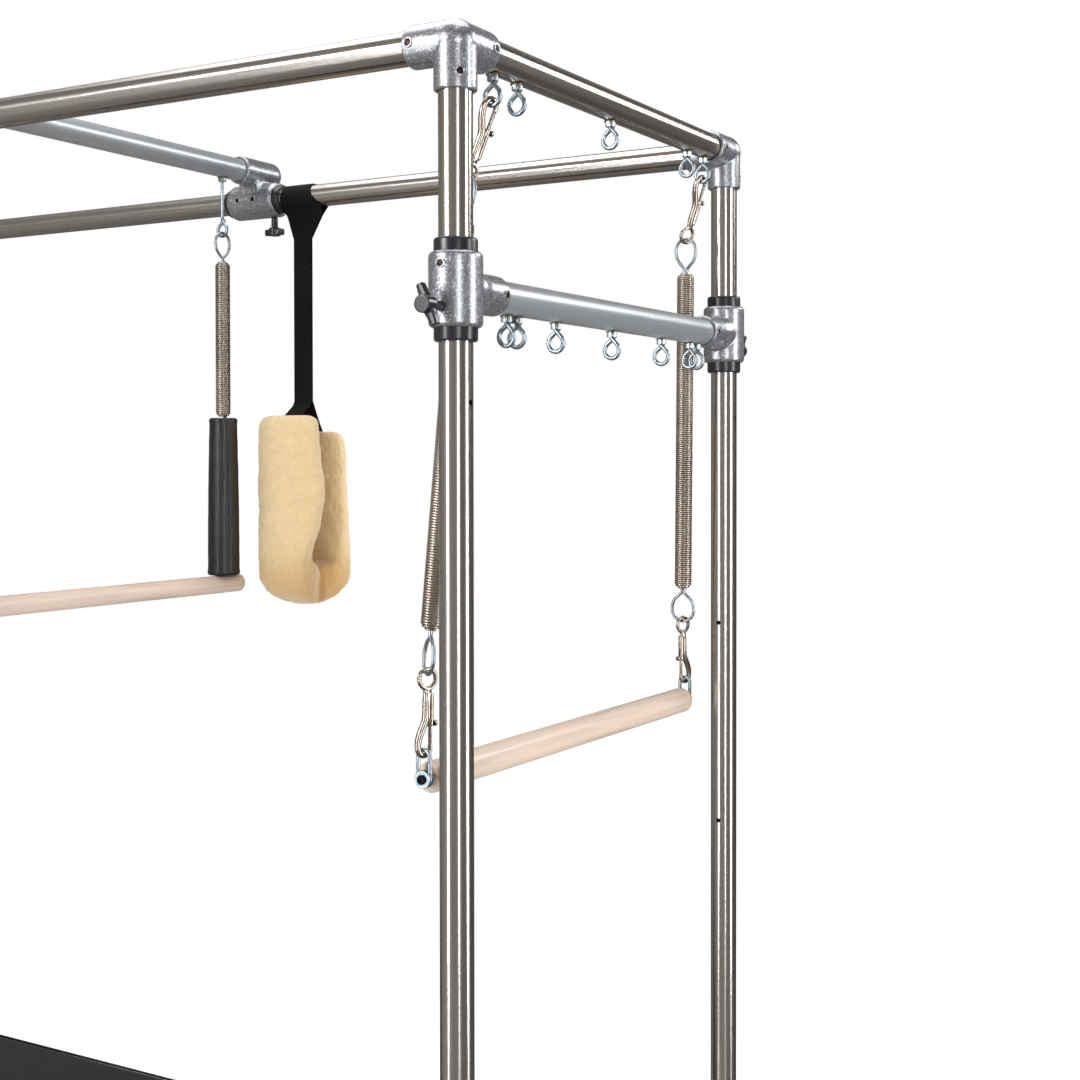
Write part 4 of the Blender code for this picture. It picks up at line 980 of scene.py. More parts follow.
def shackle_mesh():
    """A bent-wire link in XZ on a hub between two washers, with the cap screw that holds the bar."""
    drop = SHACKLE_LENGTH - SHACKLE_HALF
    route = []
    for centre, first in ((0.0, 0.0), (-drop, math.pi)):
        for step in range(17):
            angle = first + math.pi * step / 16
            route.append((SHACKLE_HALF * math.cos(angle), 0, centre + SHACKLE_HALF * math.sin(angle)))
    link = swept(route, SHACKLE_WIRE_R, 14, ring=True)
    near = SHACKLE_WIRE_R + GAP
    far = near + 0.0015
    hub = turned(eased_rod(0.0057, -near, near, 0.0002), 32)
    rim = 0.01035
    washer = turned([(0.0031, near), (rim - 0.00045, near), (rim, near + 0.0004), (rim, far - 0.0004),
                     (rim - 0.00045, far), (0.0031, far)], 48, hollow=True)
    collar = turned(eased_rod(0.0060, -SHACKLE_STAND + GAP, -far, 0.0004), 32)
    shaft = turned(eased_rod(0.0030, -SHACKLE_STAND - 0.025, near, 0.0006), 24)
    head = moved(cap_screw_head(0.0050, 0.0055, 0.0032), (0, 0, far))
    pieces = [(link, "zinc")]
    other = moved(washer, turn=about("X", 180))
    for mesh, look in ((hub, "zinc"), (washer, "zinc"), (other, "zinc"), (collar, "zinc"), (shaft, "zinc"),
                       (head, "oxide")):
        pieces.append((moved(mesh, (0, 0, -drop), about("X", 90)), look))
    return together(pieces, "shackle")


def chain_places(sy):
    """Where one chain of the roll-down bar hangs, worked out as part.py does."""
    hook = Vector((POST_X, sy * END_EYES[-1] + SNAP_SIDE_SHIFT, HOOK_Z))
    reach = math.hypot(SNAP_HOOK_U, SNAP_HOOK_W + SNAP_HOOK_R)
    seat = SNAP_EYE_R - SNAP_EYE_WIRE_R - LOOP_WIRE_R - LINK_GAP
    held = seat + reach
    slope_y = (sy * HANG_LOW_Y - hook.y) / (2 * held + ROLL_SPRING_LENGTH)
    lean = math.asin(TOP_LEAN_X / reach)
    down = Vector((-math.sin(lean), slope_y, -math.cos(lean))).normalized()
    top_eye = hook + down * reach
    crown = top_eye + down * seat
    drop = crown.z - CROSSBAR_Z
    off = POST_X - crown.x
    touch = OUTLET_R + COIL_R + GAP
    tilt = math.asin(touch / math.hypot(off, drop)) - math.atan2(off, drop)
    along = Vector((-math.sin(tilt), slope_y, -math.cos(tilt))).normalized()
    foot = crown + along * ROLL_SPRING_LENGTH
    low_y = (sy * HANG_LOW_Y - foot.y) / held
    low = Vector((0, low_y, -math.sqrt(1 - low_y * low_y)))
    return {"hook": hook, "top_eye": top_eye, "crown": crown, "along": along, "foot": foot,
            "low_eye": foot + low * seat, "low_hook": foot + low * held}


def tube_piece(node, body, look, axis, wall=TUBE_WALL, cuts=()):
    """A long tube in place of its CAD node, drilled where cuts say."""
    centre, size = middle(node), extent(node)
    index = "XYZ".index(axis)
    half = size[index] / 2
    radius = size[(index + 1) % 3] / 2 if axis != "Z" else size.x / 2
    turn = {"X": about("Y", 90), "Y": about("X", 90), "Z": None}[axis]
    mesh = turned(tube_rings(radius, radius - wall, -half, half), 72, hollow=True)
    if cuts:
        mesh = carved([mesh], cuts)
    return dress(node, mesh, look, body, centre, turn)


class TRAPEZETABLE_OT_canopy(bpy.types.Operator):
    """Build the uprights, rails and corner castings"""
    bl_idname = "trapeze_table.canopy"
    bl_label = "Canopy"

    def execute(self, context):
        drill = round_bar(POST_HOLE_R, 0, 2 * TUBE_R, 32)
        for side, sy in SIDES.items():
            for end in ENDS:
                node = f"upright_{side}_{end}"
                lift = middle(node).z
                cuts = []
                if end == "right":
                    inwards = about("X", 90 * sy)
                    cuts = [moved(drill, (0, 0, RAIL_Z - low - lift), inwards) for low in POST_HOLES_INNER]
                    cuts.append(moved(drill, (0, 0, RAIL_Z - POST_HOLE_OUTER - lift), about("Y", 90)))
                tube_piece(node, "frame", "steel", "Z", cuts=cuts)
            tube_piece(f"top_rail_{side}", "frame", "steel", "X")
        for end in ENDS:
            tube_piece(f"end_rail_{end}", "frame", "steel", "Y")
        self.corners()
        eyebolt = eyebolt_mesh()
        for number, y in enumerate(END_EYES, start=1):
            node = f"end_eyebolt_{number}"
            dress(node, eyebolt, "zinc", "frame", (POST_X, y, RAIL_Z))
        return {"FINISHED"}

    def corners(self):
        turns = {("left", "front"): 0, ("right", "front"): 90, ("right", "back"): 180, ("left", "back"): -90}
        casting, screw = corner_mesh(), set_screw_mesh()
        along = CORNER_REACH - 0.010
        seats = [((along, -CORNER_R, 0), about("X", 90)), ((-CORNER_R, along, 0), about("Y", -90))]
        diagonal = about("Z", -135) @ about("Y", 90)
        low = Vector((-CORNER_R * math.sqrt(0.5), -CORNER_R * math.sqrt(0.5), -(CORNER_DROP - 0.017)))
        seats.append((low, diagonal))
        for (end, side), degrees in turns.items():
            place = Vector((ENDS[end] * POST_X, SIDES[side] * POST_Y, RAIL_Z))
            turn = about("Z", degrees)
            node = f"corner_{side}_{end}"
            dress(node, casting, "casting", "frame", place, turn)
            for number, (at, face) in enumerate(seats, start=1):
                seat = place + turn @ Vector(at)
                show(f"{node}_set_screw_{number}", screw, "casting", "frame", seat, turn @ face)


POST_SOCKET_DEPTH = 0.080
END_BOARD_REACH = 0.049
SIDE_BOARD_T = 0.035
DECK_T = 0.018
PIPING_R = 0.0022


class TRAPEZETABLE_OT_table(bpy.types.Operator):
    """Build the beech table and its mat"""
    bl_idname = "trapeze_table.table"
    bl_label = "Table and mat"

    def execute(self, context):
        for end in ENDS:
            self.end_frame(end)
        self.bed()
        self.mat()
        return {"FINISHED"}

    def end_frame(self, end):
        node = f"base_end_{end}"
        low, high = corners_of(node)
        leg = high.x - low.x
        legs = []
        for sy in SIDES.values():
            outer = high.y if sy > 0 else low.y
            near, far = sorted((outer, outer - sy * leg))
            legs.append(eased_box((low.x, near, low.z), (high.x, far, high.z), 0.004))
        socket = round_bar(TUBE_R + GAP, high.z - POST_SOCKET_DEPTH, high.z + 0.01)
        for mesh, (side, sy) in zip(legs, SIDES.items()):
            mesh = carved([mesh], [moved(socket, (ENDS[end] * POST_X, sy * POST_Y, 0))], sharp=50)
            stands_for = [node] if side == "front" else []
            show(f"leg_{side}_{end}", mesh, "beech_z", "frame", stands_for=stands_for)
        inner = low.x if end == "right" else high.x
        board_x = sorted((inner + ENDS[end] * 0.004, inner + ENDS[end] * END_BOARD_REACH))
        reach = high.y - leg + 0.0005
        for name, z0, z1 in (("end_board", high.z - 0.130, high.z - 0.004), ("foot_rail", 0.10, 0.17)):
            mesh = eased_box((board_x[0], -reach, z0), (board_x[1], reach, z1), 0.003)
            show(f"{name}_{end}", mesh, "beech_y", "frame")

    def bed(self):
        low, high = corners_of("bed_frame")
        inset = SIDE_BOARD_T + 0.0002
        deck = eased_box((low.x, low.y + inset, high.z - DECK_T), (high.x, high.y - inset, high.z), 0.0015)
        show("bed_deck", deck, "beech_x", "frame", stands_for=["bed_frame"])
        for side, sy in SIDES.items():
            edge = high.y if sy > 0 else low.y
            near, far = sorted((edge, edge - sy * SIDE_BOARD_T))
            board = eased_box((low.x, near, low.z), (high.x, far, high.z), 0.004)
            show(f"side_board_{side}", board, "beech_x", "frame")

    def mat(self):
        low, high = corners_of("mat")
        crown = sizes().crown_height
        thick = high.z - low.z - crown
        half_x, half_y = (high.x - low.x) / 2, (high.y - low.y) / 2
        mesh = mat_mesh(half_x, half_y, thick, crown)
        mat = show("mat_cover", mesh, "vinyl", "frame", (0, 0, low.z), None, ["mat"])
        for name, height in (("top", thick * 0.90), ("bottom", thick * 0.12)):
            outline = rounded_outline(half_x - PIPING_R, half_y - PIPING_R, 0.020, 10)
            route = [(x, y, height) for x, y in outline]
            piping = swept(route, PIPING_R, 8, ring=True, name="piping")
            show(f"mat_piping_{name}", piping, "vinyl", "frame", (0, 0, low.z))


def rounded_outline(half_x, half_y, radius, steps, draw=0.0):
    """A rounded rectangle, with its long sides drawn in a little between the corners."""
    points = []
    corners = ((1, -1), (1, 1), (-1, 1), (-1, -1))

    def on_corner(signs, angle):
        return (signs[0] * (half_x - radius) + radius * math.cos(angle),
                signs[1] * (half_y - radius) + radius * math.sin(angle))

    for index, corner in enumerate(corners):
        start = -math.pi / 2 + math.pi / 2 * index
        for step in range(steps + 1):
            points.append(on_corner(corner, start + math.pi / 2 * step / steps))
        first = points[-1]
        last = on_corner(corners[(index + 1) % 4], start + math.pi / 2)
        count = 24 if index % 2 else 12
        for step in range(1, count):
            share = step / count
            inwards = draw * math.sin(math.pi * share)
            x = first[0] + (last[0] - first[0]) * share
            y = first[1] + (last[1] - first[1]) * share
            if index % 2:
                y -= math.copysign(inwards, y)
            else:
                x -= math.copysign(inwards, x)
            points.append((x, y))
    return points


def mat_mesh(half_x, half_y, thick, crown):
    """A long vinyl cushion: flat underneath, bellied sides, a soft top edge and a crowned top."""
    # Each section's inset and its share of the thickness
    sections = [(0.006, 0.0), (0.0015, 0.03), (0.0008, 0.12), (0.0, 0.30), (0.0, 0.55), (0.0012, 0.75),
                (0.004, 0.90), (0.010, 0.975), (0.020, 1.0)]
    rings = []
    for inset, height in sections:
        radius = max(0.012, 0.022 - inset)
        ring = rounded_outline(half_x - inset, half_y - inset, radius, 8, 0.004)
        rings.append([(x, y, thick * height) for x, y in ring])
    for share in (0.10, 0.22, 0.38, 0.58, 0.80, 0.96):
        inset = 0.020 + (half_y - 0.030) * share
        ring = rounded_outline(half_x - inset, half_y - inset, 0.012 * (1 - share) + 0.004, 8)
        rise = crown * math.sin(math.pi / 2 * share)
        rings.append([(x, y, thick + rise + 0.0007 * noise.noise(Vector((x, y, 0)) * 9)) for x, y in ring])
    return skin(rings, "mat", sharp=70)


class TRAPEZETABLE_OT_crossbar(bpy.types.Operator):
    """Build the crossbar, its sliding fittings and its eyebolts"""
    bl_idname = "trapeze_table.crossbar"
    bl_label = "Crossbar"

    def execute(self, context):
        tube_piece("crossbar_tube", "crossbar", "anodised", "Y", ANODISED_WALL)
        tee, bush, screw = tee_mesh(), bush_mesh(TEE_HALF, BUSH_OVER), set_screw_mesh()
        knob = knob_mesh(hub_start=0.02895, hub_end=0.04695, span=0.049, wing_low=0.0293, wing_high=0.0390)
        for side, sy in SIDES.items():
            face = about("Z", 0 if sy < 0 else 180)
            at = Vector((POST_X, sy * POST_Y, CROSSBAR_Z))
            dress(f"crossbar_tee_{side}", tee, "casting", "crossbar", at, face)
            dress(f"crossbar_bush_{side}", bush, "nylon", "crossbar", at, face)
            upper = face @ Vector((0, -TEE_R, TEE_HALF - 0.015))
            outlet = Vector((OUTLET_R, -sy * (OUTLET_REACH - 0.009), 0))
            seats = ((upper, face @ about("X", 90)), (outlet, about("Y", 90)))
            for number, (seat, turn) in enumerate(seats, start=1):
                node = f"crossbar_tee_{side}_set_screw_{number}"
                show(node, screw, "casting", "crossbar", at + seat, turn)
            tip = (POST_X, sy * (POST_Y + TUBE_R + GAP), CROSSBAR_Z - KNOB_OFFSET)
            turn = face @ about("X", 90) @ about("Z", 90 + KNOB_TILT)
            node = f"crossbar_knob_{side}"
            dress(node, knob, "nylon", node, tip, turn)
        eyebolt = eyebolt_mesh()
        for number, y in enumerate(BAR_EYES, start=1):
            node = f"crossbar_eyebolt_{number}"
            at = (POST_X, y + BAR_EYES_SHIFT, CROSSBAR_Z)
            dress(node, eyebolt, "zinc", "crossbar", at)
        return {"FINISHED"}


class TRAPEZETABLE_OT_roll_down(bpy.types.Operator):
    """Build the roll-down bar, its springs, snap hooks and shackles"""
    bl_idname = "trapeze_table.roll_down"
    bl_label = "Roll-down bar"

    def execute(self, context):
        snap, bolt, shackle = snap_mesh(), snap_bolt_mesh(), shackle_mesh()
        low_turns = {"front": math.radians(68), "back": math.radians(-110)}
        loop_turns = {"front": (math.radians(-22), math.radians(-38)),
                      "back": (math.radians(-10), math.radians(2))}
        wire = sizes().spring_wire
        for side, sy in SIDES.items():
            places = chain_places(sy)
            turn = snap_frame(places["top_eye"], places["hook"], math.radians(68))
            self.snap_pair("top", side, snap, bolt, "roll_down_springs", places["top_eye"], turn)
            turn = snap_frame(places["low_eye"], places["low_hook"], low_turns[side])
            self.snap_pair("low", side, snap, bolt, "low_snaps", places["low_eye"], turn)
            face = about("Z", 0 if side == "front" else 180)
            at = (AXLE_PLACE.x, sy * HANG_LOW_Y, SHACKLE_PLACE.z)
            dress(f"shackle_{side}", shackle, "zinc", "shackles", at, face)
            self.spring(side, places, wire, loop_turns[side])
        rings = eased_rod(ROLL_BAR_R, -ROLL_BAR_HALF, ROLL_BAR_HALF, 0.0030, 6)
        hole = round_bar(ROLL_HOLE_R, ROLL_BAR_HALF - ROLL_HOLE_DEPTH, ROLL_BAR_HALF + 0.01, 24)
        dowel = carved([turned(rings, 64)], [hole, moved(hole, turn=about("X", 180))])
        show("roll_bar_dowel", dowel, "beech_z", "roll_bar", AXLE_PLACE, about("X", 90), ["roll_bar"])
        return {"FINISHED"}

    def snap_pair(self, level, side, snap, bolt, body, at, turn):
        node = f"{level}_snap_{side}"
        dress(node, snap, "nickel", body, at, turn)
        node = f"{level}_snap_bolt_{side}"
        dress(node, bolt, "nickel", node, at, turn)

    def spring(self, side, places, wire, turns):
        node = f"roll_spring_{side}"
        turn = Vector((0, 0, -1)).rotation_difference(places["along"]).to_matrix()
        coil_start = places["crown"] + places["along"] * LOOP_LENGTH
        length = ROLL_SPRING_LENGTH - 2 * LOOP_LENGTH
        mesh = spring_coil(length, wire, "roll_coil")
        coil = show(f"{node}_coil", mesh, "spring", None, coil_start, turn)
        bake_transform(coil)
        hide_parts(node)
        show(f"{node}_top_loop", loop_mesh(turns[0]), "loop", "roll_down_springs", places["crown"], turn)
        flipped = turn @ about("X", 180)
        show(f"{node}_low_loop", loop_mesh(-turns[1]), "loop", "low_snaps", places["foot"], flipped)


class TRAPEZETABLE_OT_slider(bpy.types.Operator):
    """Build the slider tube, its castings and knobs"""
    bl_idname = "trapeze_table.slider"
    bl_label = "Slider"

    def execute(self, context):
        reach = POST_Y + SLIDER_TUBE_OVER
        tube = turned(tube_rings(TUBE_R, TUBE_R - ANODISED_WALL, -reach, reach), 72, hollow=True)
        at = (SLIDER_X, 0, SLIDER_Z)
        dress("slider_tube", tube, "anodised", "slider", at, about("X", 90))
        long_eye = eyebolt_mesh(SLIDER_EYE_DROP)
        tee, bush, screw = slider_tee_mesh(), bush_mesh(SLIDER_HALF, SLIDER_BUSH_OVER), set_screw_mesh()
        knob = knob_mesh(hub_start=0.02895, hub_end=0.04295, span=0.038, wing_low=0.0305, wing_high=0.0425)
        for side, sy in SIDES.items():
            at = (SLIDER_X, sy * SLIDER_EYE_Y, SLIDER_Z + 2 * GAP)
            show(f"slider_eyebolt_{side}", long_eye, "zinc", "slider", at)
            at = Vector((SLIDER_X, sy * POST_Y, RAIL_Z))
            node = f"slider_tee_{side}"
            dress(node, mirrored(tee, sy), "casting", "slider", at)
            show(f"slider_bush_{side}", bush, "nylon", "slider", at, about("Y", 90))
            for number, x in enumerate((-0.022, 0.012), start=1):
                seat = Vector((x, -sy * TEE_R, 0))
                turn = about("X", 90 * sy)
                show(f"{node}_set_screw_{number}", screw, "casting", "slider", at + seat, turn)
            tip = (SLIDER_X + SLIDER_KNOB_OFFSET, sy * POST_Y, RAIL_Z - TUBE_R - GAP)
            node = f"slider_knob_{side}"
            dress(node, knob, "nylon", node, tip, about("X", 180))
        return {"FINISHED"}


class TRAPEZETABLE_OT_trapeze(bpy.types.Operator):
    """Build the trapeze's springs, padded sleeves and bar"""
    bl_idname = "trapeze_table.trapeze"
    bl_label = "Trapeze"

    def execute(self, context):
        coil_z = TRAPEZE_CROWN_Z - LOOP_LENGTH
        sleeve_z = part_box("trapeze_sleeve_front")[1][2]
        length = coil_z - sleeve_z
        wire = sizes().spring_wire
        sleeve, rod = sleeve_mesh(), sleeve_rod_mesh()
        for side, sy in SIDES.items():
            y = sy * SLIDER_EYE_Y
            node = f"trapeze_spring_{side}"
            mesh = spring_coil(length, wire, "trapeze_coil")
            coil = show(f"{node}_coil", mesh, "spring", None, (SLIDER_X, y, coil_z))
            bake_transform(coil)
            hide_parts(node)
            loop = loop_mesh(math.radians(90))
            show(f"{node}_loop", loop, "loop", "trapeze_springs", (SLIDER_X, y, TRAPEZE_CROWN_Z))
            node = f"trapeze_sleeve_{side}"
            cover = show(f"{node}_cover", sleeve, "vinyl", "trapeze", (SLIDER_X, y, sleeve_z), None, [node])
            show(f"{node}_rod", rod, "zinc", "trapeze", (SLIDER_X, y, sleeve_z))
        rings = eased_rod(TRAPEZE_BAR_R, -TRAPEZE_BAR_HALF, TRAPEZE_BAR_HALF, 0.0028, 6)
        drill = moved(round_bar(TRAPEZE_HOLE_R, -0.02, 0.02, 24), turn=about("X", 90))
        holes = [moved(drill, (0, 0, sy * SLIDER_EYE_Y)) for sy in SIDES.values()]
        bar = carved([turned(rings, 64)], holes)
        node = "trapeze_bar"
        show("trapeze_bar_dowel", bar, "beech_z", "trapeze", middle(node), about("X", 90), [node])
        return {"FINISHED"}


SLEEVE_HOLE_R = 0.0046
SLEEVE_BELLY = 0.0009


def sleeve_mesh():
    """A padded vinyl sleeve from the origin down, a little bellied, with a stitched seam down one side."""
    length = SLEEVE_LENGTH
    rings = []
    ease = 0.005
    stations = [(SLEEVE_HOLE_R, 0.0), (0.0150, 0.0)]
    for step in range(1, 6):
        angle = math.pi / 2 * step / 5
        stations.append((SLEEVE_TOP_R - ease * (1 - math.sin(angle)), ease * (1 - math.cos(angle))))
    for step in range(1, 40):
        share = step / 40
        belly = SLEEVE_BELLY * math.sin(math.pi * share)
        radius = SLEEVE_TOP_R + (SLEEVE_LOW_R - SLEEVE_TOP_R) * share - SLEEVE_BELLY + belly
        stations.append((radius, ease + (length - 2 * ease) * share))
    for step in range(5, 0, -1):
        angle = math.pi / 2 * step / 5
        stations.append((SLEEVE_LOW_R - ease * (1 - math.sin(angle)), length - ease * (1 - math.cos(angle))))
    stations += [(0.0180, length - 0.0002), (SLEEVE_HOLE_R, length - 0.0002)]
    angles = [2 * math.pi * index / 56 for index in range(56)]
    for radius, drop in stations:
        ring = []
        for angle in angles:
            ripple = 0.0004 * noise.noise(Vector((math.cos(angle) * 3, math.sin(angle) * 3, drop * 60)))
            seam = 0.0011 * math.exp(-((math.remainder(angle - math.pi / 2, 2 * math.pi) / 0.09) ** 2))
            reach = radius if radius < 0.010 else radius + ripple - seam
            ring.append((reach * math.cos(angle), reach * math.sin(angle), -drop))
        rings.append(ring)
    return skin(rings, "sleeve", ends=False, sharp=70)


def sleeve_rod_mesh():
    """The rod that holds the bar: it ends a little inside the bar's underside."""
    low = 0.0015 - SLEEVE_LENGTH - 2 * TRAPEZE_BAR_R - 2 * GAP
    return turned(eased_rod(TRAPEZE_ROD_R, low, -0.012, 0.0006), 24)


class TRAPEZETABLE_OT_sling(bpy.types.Operator):
    """Build the webbing strap and the fleece loop"""
    bl_idname = "trapeze_table.sling"
    bl_label = "Fleece sling"

    def execute(self, context):
        at = (STRAP_X, POST_Y, RAIL_Z)
        strap = show("strap_webbing", strap_mesh(), "webbing", "sling", at, None, ["strap"])
        fleece = show("fleece_pile", fleece_mesh(), "sheepskin", "sling", at, None, ["fleece_loop"])
        return {"FINISHED"}


STRAP_T = 0.0024
STRAP_PLY_GAP = 0.0008
STRAP_TOP_HALVES = (0.033, 0.028)
STRAP_LOW_HALVES = (0.0365, 0.050)
STRAP_TAPER_END = 0.072
STRAP_END = 0.352
FLEECE_HALF_W = 0.064
FLEECE_HALF_T = 0.021
FLEECE_BEND_R = 0.0405
FLEECE_TOP = 0.378
FLEECE_FILLET = 0.030
FLEECE_BACK_DROP = 0.027
FLEECE_BOTTOM = 0.705
FLEECE_SHOULDER = 0.030


def strap_mesh():
    """The strap: webbing over the rail, gathered to its own width, with both plies down to the fleece."""
    ring = TUBE_R + GAP + STRAP_T / 2
    ply = (STRAP_T + STRAP_PLY_GAP) / 2
    ends = {-1: FLEECE_TOP - GAP, 1: FLEECE_TOP + FLEECE_BACK_DROP - GAP}
    apart = FLEECE_BEND_R - 0.012
    half = sizes().strap_width / 2

    def halves_at(drop):
        share = limited((drop - ring) / (STRAP_TAPER_END - ring))
        return tuple(low + (half - low) * share for low in STRAP_LOW_HALVES)

    def tail(sy):
        stations = [(sy * apart, ends[sy], 0.0),
                    (sy * (apart * 0.55), (ends[sy] + STRAP_END) / 2 + 0.003, 0.7),
                    (sy * (ply + 0.004), STRAP_END + 0.008, 0.6), (sy * ply, STRAP_END, 0.1)]
        for step in range(1, 24):
            drop = STRAP_END + (STRAP_TAPER_END - STRAP_END) * step / 24
            stations.append((sy * ply, drop, 0.0))
        for step in range(7):
            drop = STRAP_TAPER_END + (ring + 0.012 - STRAP_TAPER_END) * step / 6
            stations.append((sy * ply, drop, 0.0))
        return [(y, drop, Vector((1.0, sy * bend)).normalized(), halves_at(drop))
                for y, drop, bend in stations]

    sections = tail(-1)
    start = math.radians(24)
    steps = 40
    for step in range(steps + 1):
        angle = start + (2 * math.pi - 2 * start) * step / steps
        low = ((1 + math.cos(angle)) / 2) ** 2
        halves = tuple(top + (under - top) * low for top, under in zip(STRAP_TOP_HALVES, STRAP_LOW_HALVES))
        normal = Vector((math.sin(angle), math.cos(angle)))
        sections.append((-ring * math.sin(angle), ring * math.cos(angle), normal, halves))
    sections += [(y, drop, -normal, halves) for y, drop, normal, halves in reversed(tail(1))]
    rings = [ribbon_section(y, -drop, normal, halves) for y, drop, normal, halves in sections]
    return skin(rings, "strap", sharp=50)


def ribbon_section(y, z, normal, halves):
    """One cross-section of the webbing, with its rolled selvedges, from its two half widths."""
    half = STRAP_T / 2
    out = Vector((0, normal[0], normal[1]))
    place = Vector(((halves[1] - halves[0]) / 2, y, z))
    reach = sum(halves) / 2
    upper, lower = [], []
    count = 14
    for step in range(count + 1):
        share = -1 + 2 * step / count
        edge = math.sqrt(max(0.0, 1 - abs(share) ** 14))
        offset = half * (0.25 + 0.75 * edge)
        along = Vector((share * reach, 0, 0))
        upper.append(place + along + out * offset)
        lower.append(place + along - out * offset)
    return upper + lower[::-1]


def fleece_mesh():
    """The U of sheepskin: a thick rounded section along its route, with soft tufts all over."""
    bend_z = -(FLEECE_BOTTOM - FLEECE_HALF_T - FLEECE_BEND_R)
    tall = sizes().pile_height
    rings, painted_shades = [], []
    count = 128
    for y, z, angle, size in fleece_stations(bend_z):
        outward = Vector((0, -math.cos(angle), -math.sin(angle)))
        tuck = 1 - 0.30 * math.sin(angle) ** 4
        front = y < 0 and angle < math.pi / 2
        share = (-z - FLEECE_TOP) / (FLEECE_BOTTOM - FLEECE_TOP)
        belly = 0.20 * math.exp(-((share - 0.40) / 0.17) ** 2)
        waist = 0.34 * math.exp(-((share - 0.80) / 0.15) ** 2)
        bulge = belly - waist
        back_width = 0.84 + 0.20 * limited(share / 0.75)
        ring = []
        for step in range(count):
            around = 2 * math.pi * step / count
            c, s = math.cos(around), math.sin(around)
            wide = flattened(c, 0.70) * (FLEECE_HALF_W - tall * 0.6) * (0.36 + size * 0.64) * tuck
            if front and c > 0:
                wide *= 1 + bulge * c
            elif c > 0 and y > 0:
                wide *= back_width
            thick = flattened(s, 0.75) * (FLEECE_HALF_T - tall * 0.6) * size
            place = Vector((wide, y, z)) + outward * thick
            direction = (Vector((c * 0.6, 0, 0)) + outward * s).normalized()
            locks = noise.fractal(place * 38, 0.8, 2.1, 3) * tall * 0.6
            tufts = noise.noise(place * 190) * tall * 0.40
            place += direction * (locks + tufts)
            height = max(0.0, place.z + FLEECE_BOTTOM - 2 * FLEECE_HALF_T)
            place.z += FLEECE_FILLET * limited(0.5 - s) * math.exp(-height / 0.055)
            ring.append(place)
            # Painted shade: tan on the inner side between the arms, and more of it towards the bottom
            inside = max(0.0, -s) ** 0.6 * limited((-z - 0.43) / 0.20)
            shade_low = 1.1 * limited((share - 0.64) / 0.36) ** 1.3
            painted_shades.append(min(1.0, max(inside * 0.25, shade_low)))
        rings.append(ring)
    mesh = skin(rings, "fleece", sharp=180)
    # The painted shade is stored on the mesh for the sheepskin material to read
    attribute = mesh.attributes.new("pile_depth", "FLOAT", "POINT")
    values = painted_shades[:len(mesh.vertices)] + [0.0] * max(0, len(mesh.vertices) - len(painted_shades))
    attribute.data.foreach_set("value", values)
    return mesh


def fleece_stations(bend_z):
    """Places along the U as (y, z, angle, size), with rounded shoulders at both tops."""
    shoulder, bend = FLEECE_SHOULDER, FLEECE_BEND_R

    def cap(sign, top, angle):
        result = []
        for step in range(11):
            share = step / 10
            size = math.sin(math.pi / 2 * (0.10 + 0.90 * share)) ** 0.6
            drop = shoulder * (1 - math.cos(math.pi / 2 * share))
            result.append((sign * bend, top - drop, angle, size))
        return result

    front_top, back_top = -FLEECE_TOP, -FLEECE_TOP - FLEECE_BACK_DROP
    stations = cap(-1, front_top, 0.0)
    for step in range(1, 60):
        share = step / 60
        z = front_top - shoulder + (bend_z - front_top + shoulder) * share
        stations.append((-bend, z, 0.0, 1.0))
    for step in range(49):
        angle = math.pi * step / 48
        stations.append((-bend * math.cos(angle), bend_z - bend * math.sin(angle), angle, 1.0))
    for step in range(1, 56):
        share = step / 56
        z = bend_z + (back_top - shoulder - bend_z) * share
        stations.append((bend, z, math.pi, 1.0))
    stations += cap(1, back_top, math.pi)[::-1]
    return stations


# The side that the room is brighter on, 60 degrees round from the camera to the picture's left
BRIGHT_SIDE = (-0.447, -0.894, 0.0)
ROOM_COLOUR = "#B5B0AC"
ROOM_STRENGTH = (0.20, 0.74)

# The lights stand round the near upright, from where this direction leads to the camera
TO_CAMERA = (0.551, -0.834, 0)
LIGHTS_AIM_Z = 1.4

# The camera, as fitted to the photograph
SENSOR_MM = 36.0
PHOTO_PX = 1080
CAMERA_FOCAL_PX = 1581.65
CAMERA_CENTRE_PX = (557.93, 483.39)
CAMERA_YAW = 29.748
CAMERA_PITCH = 0.8591
CAMERA_ROLL = -0.0557
CAMERA_PLACE = (2.04196, -1.80219, 1.70108)


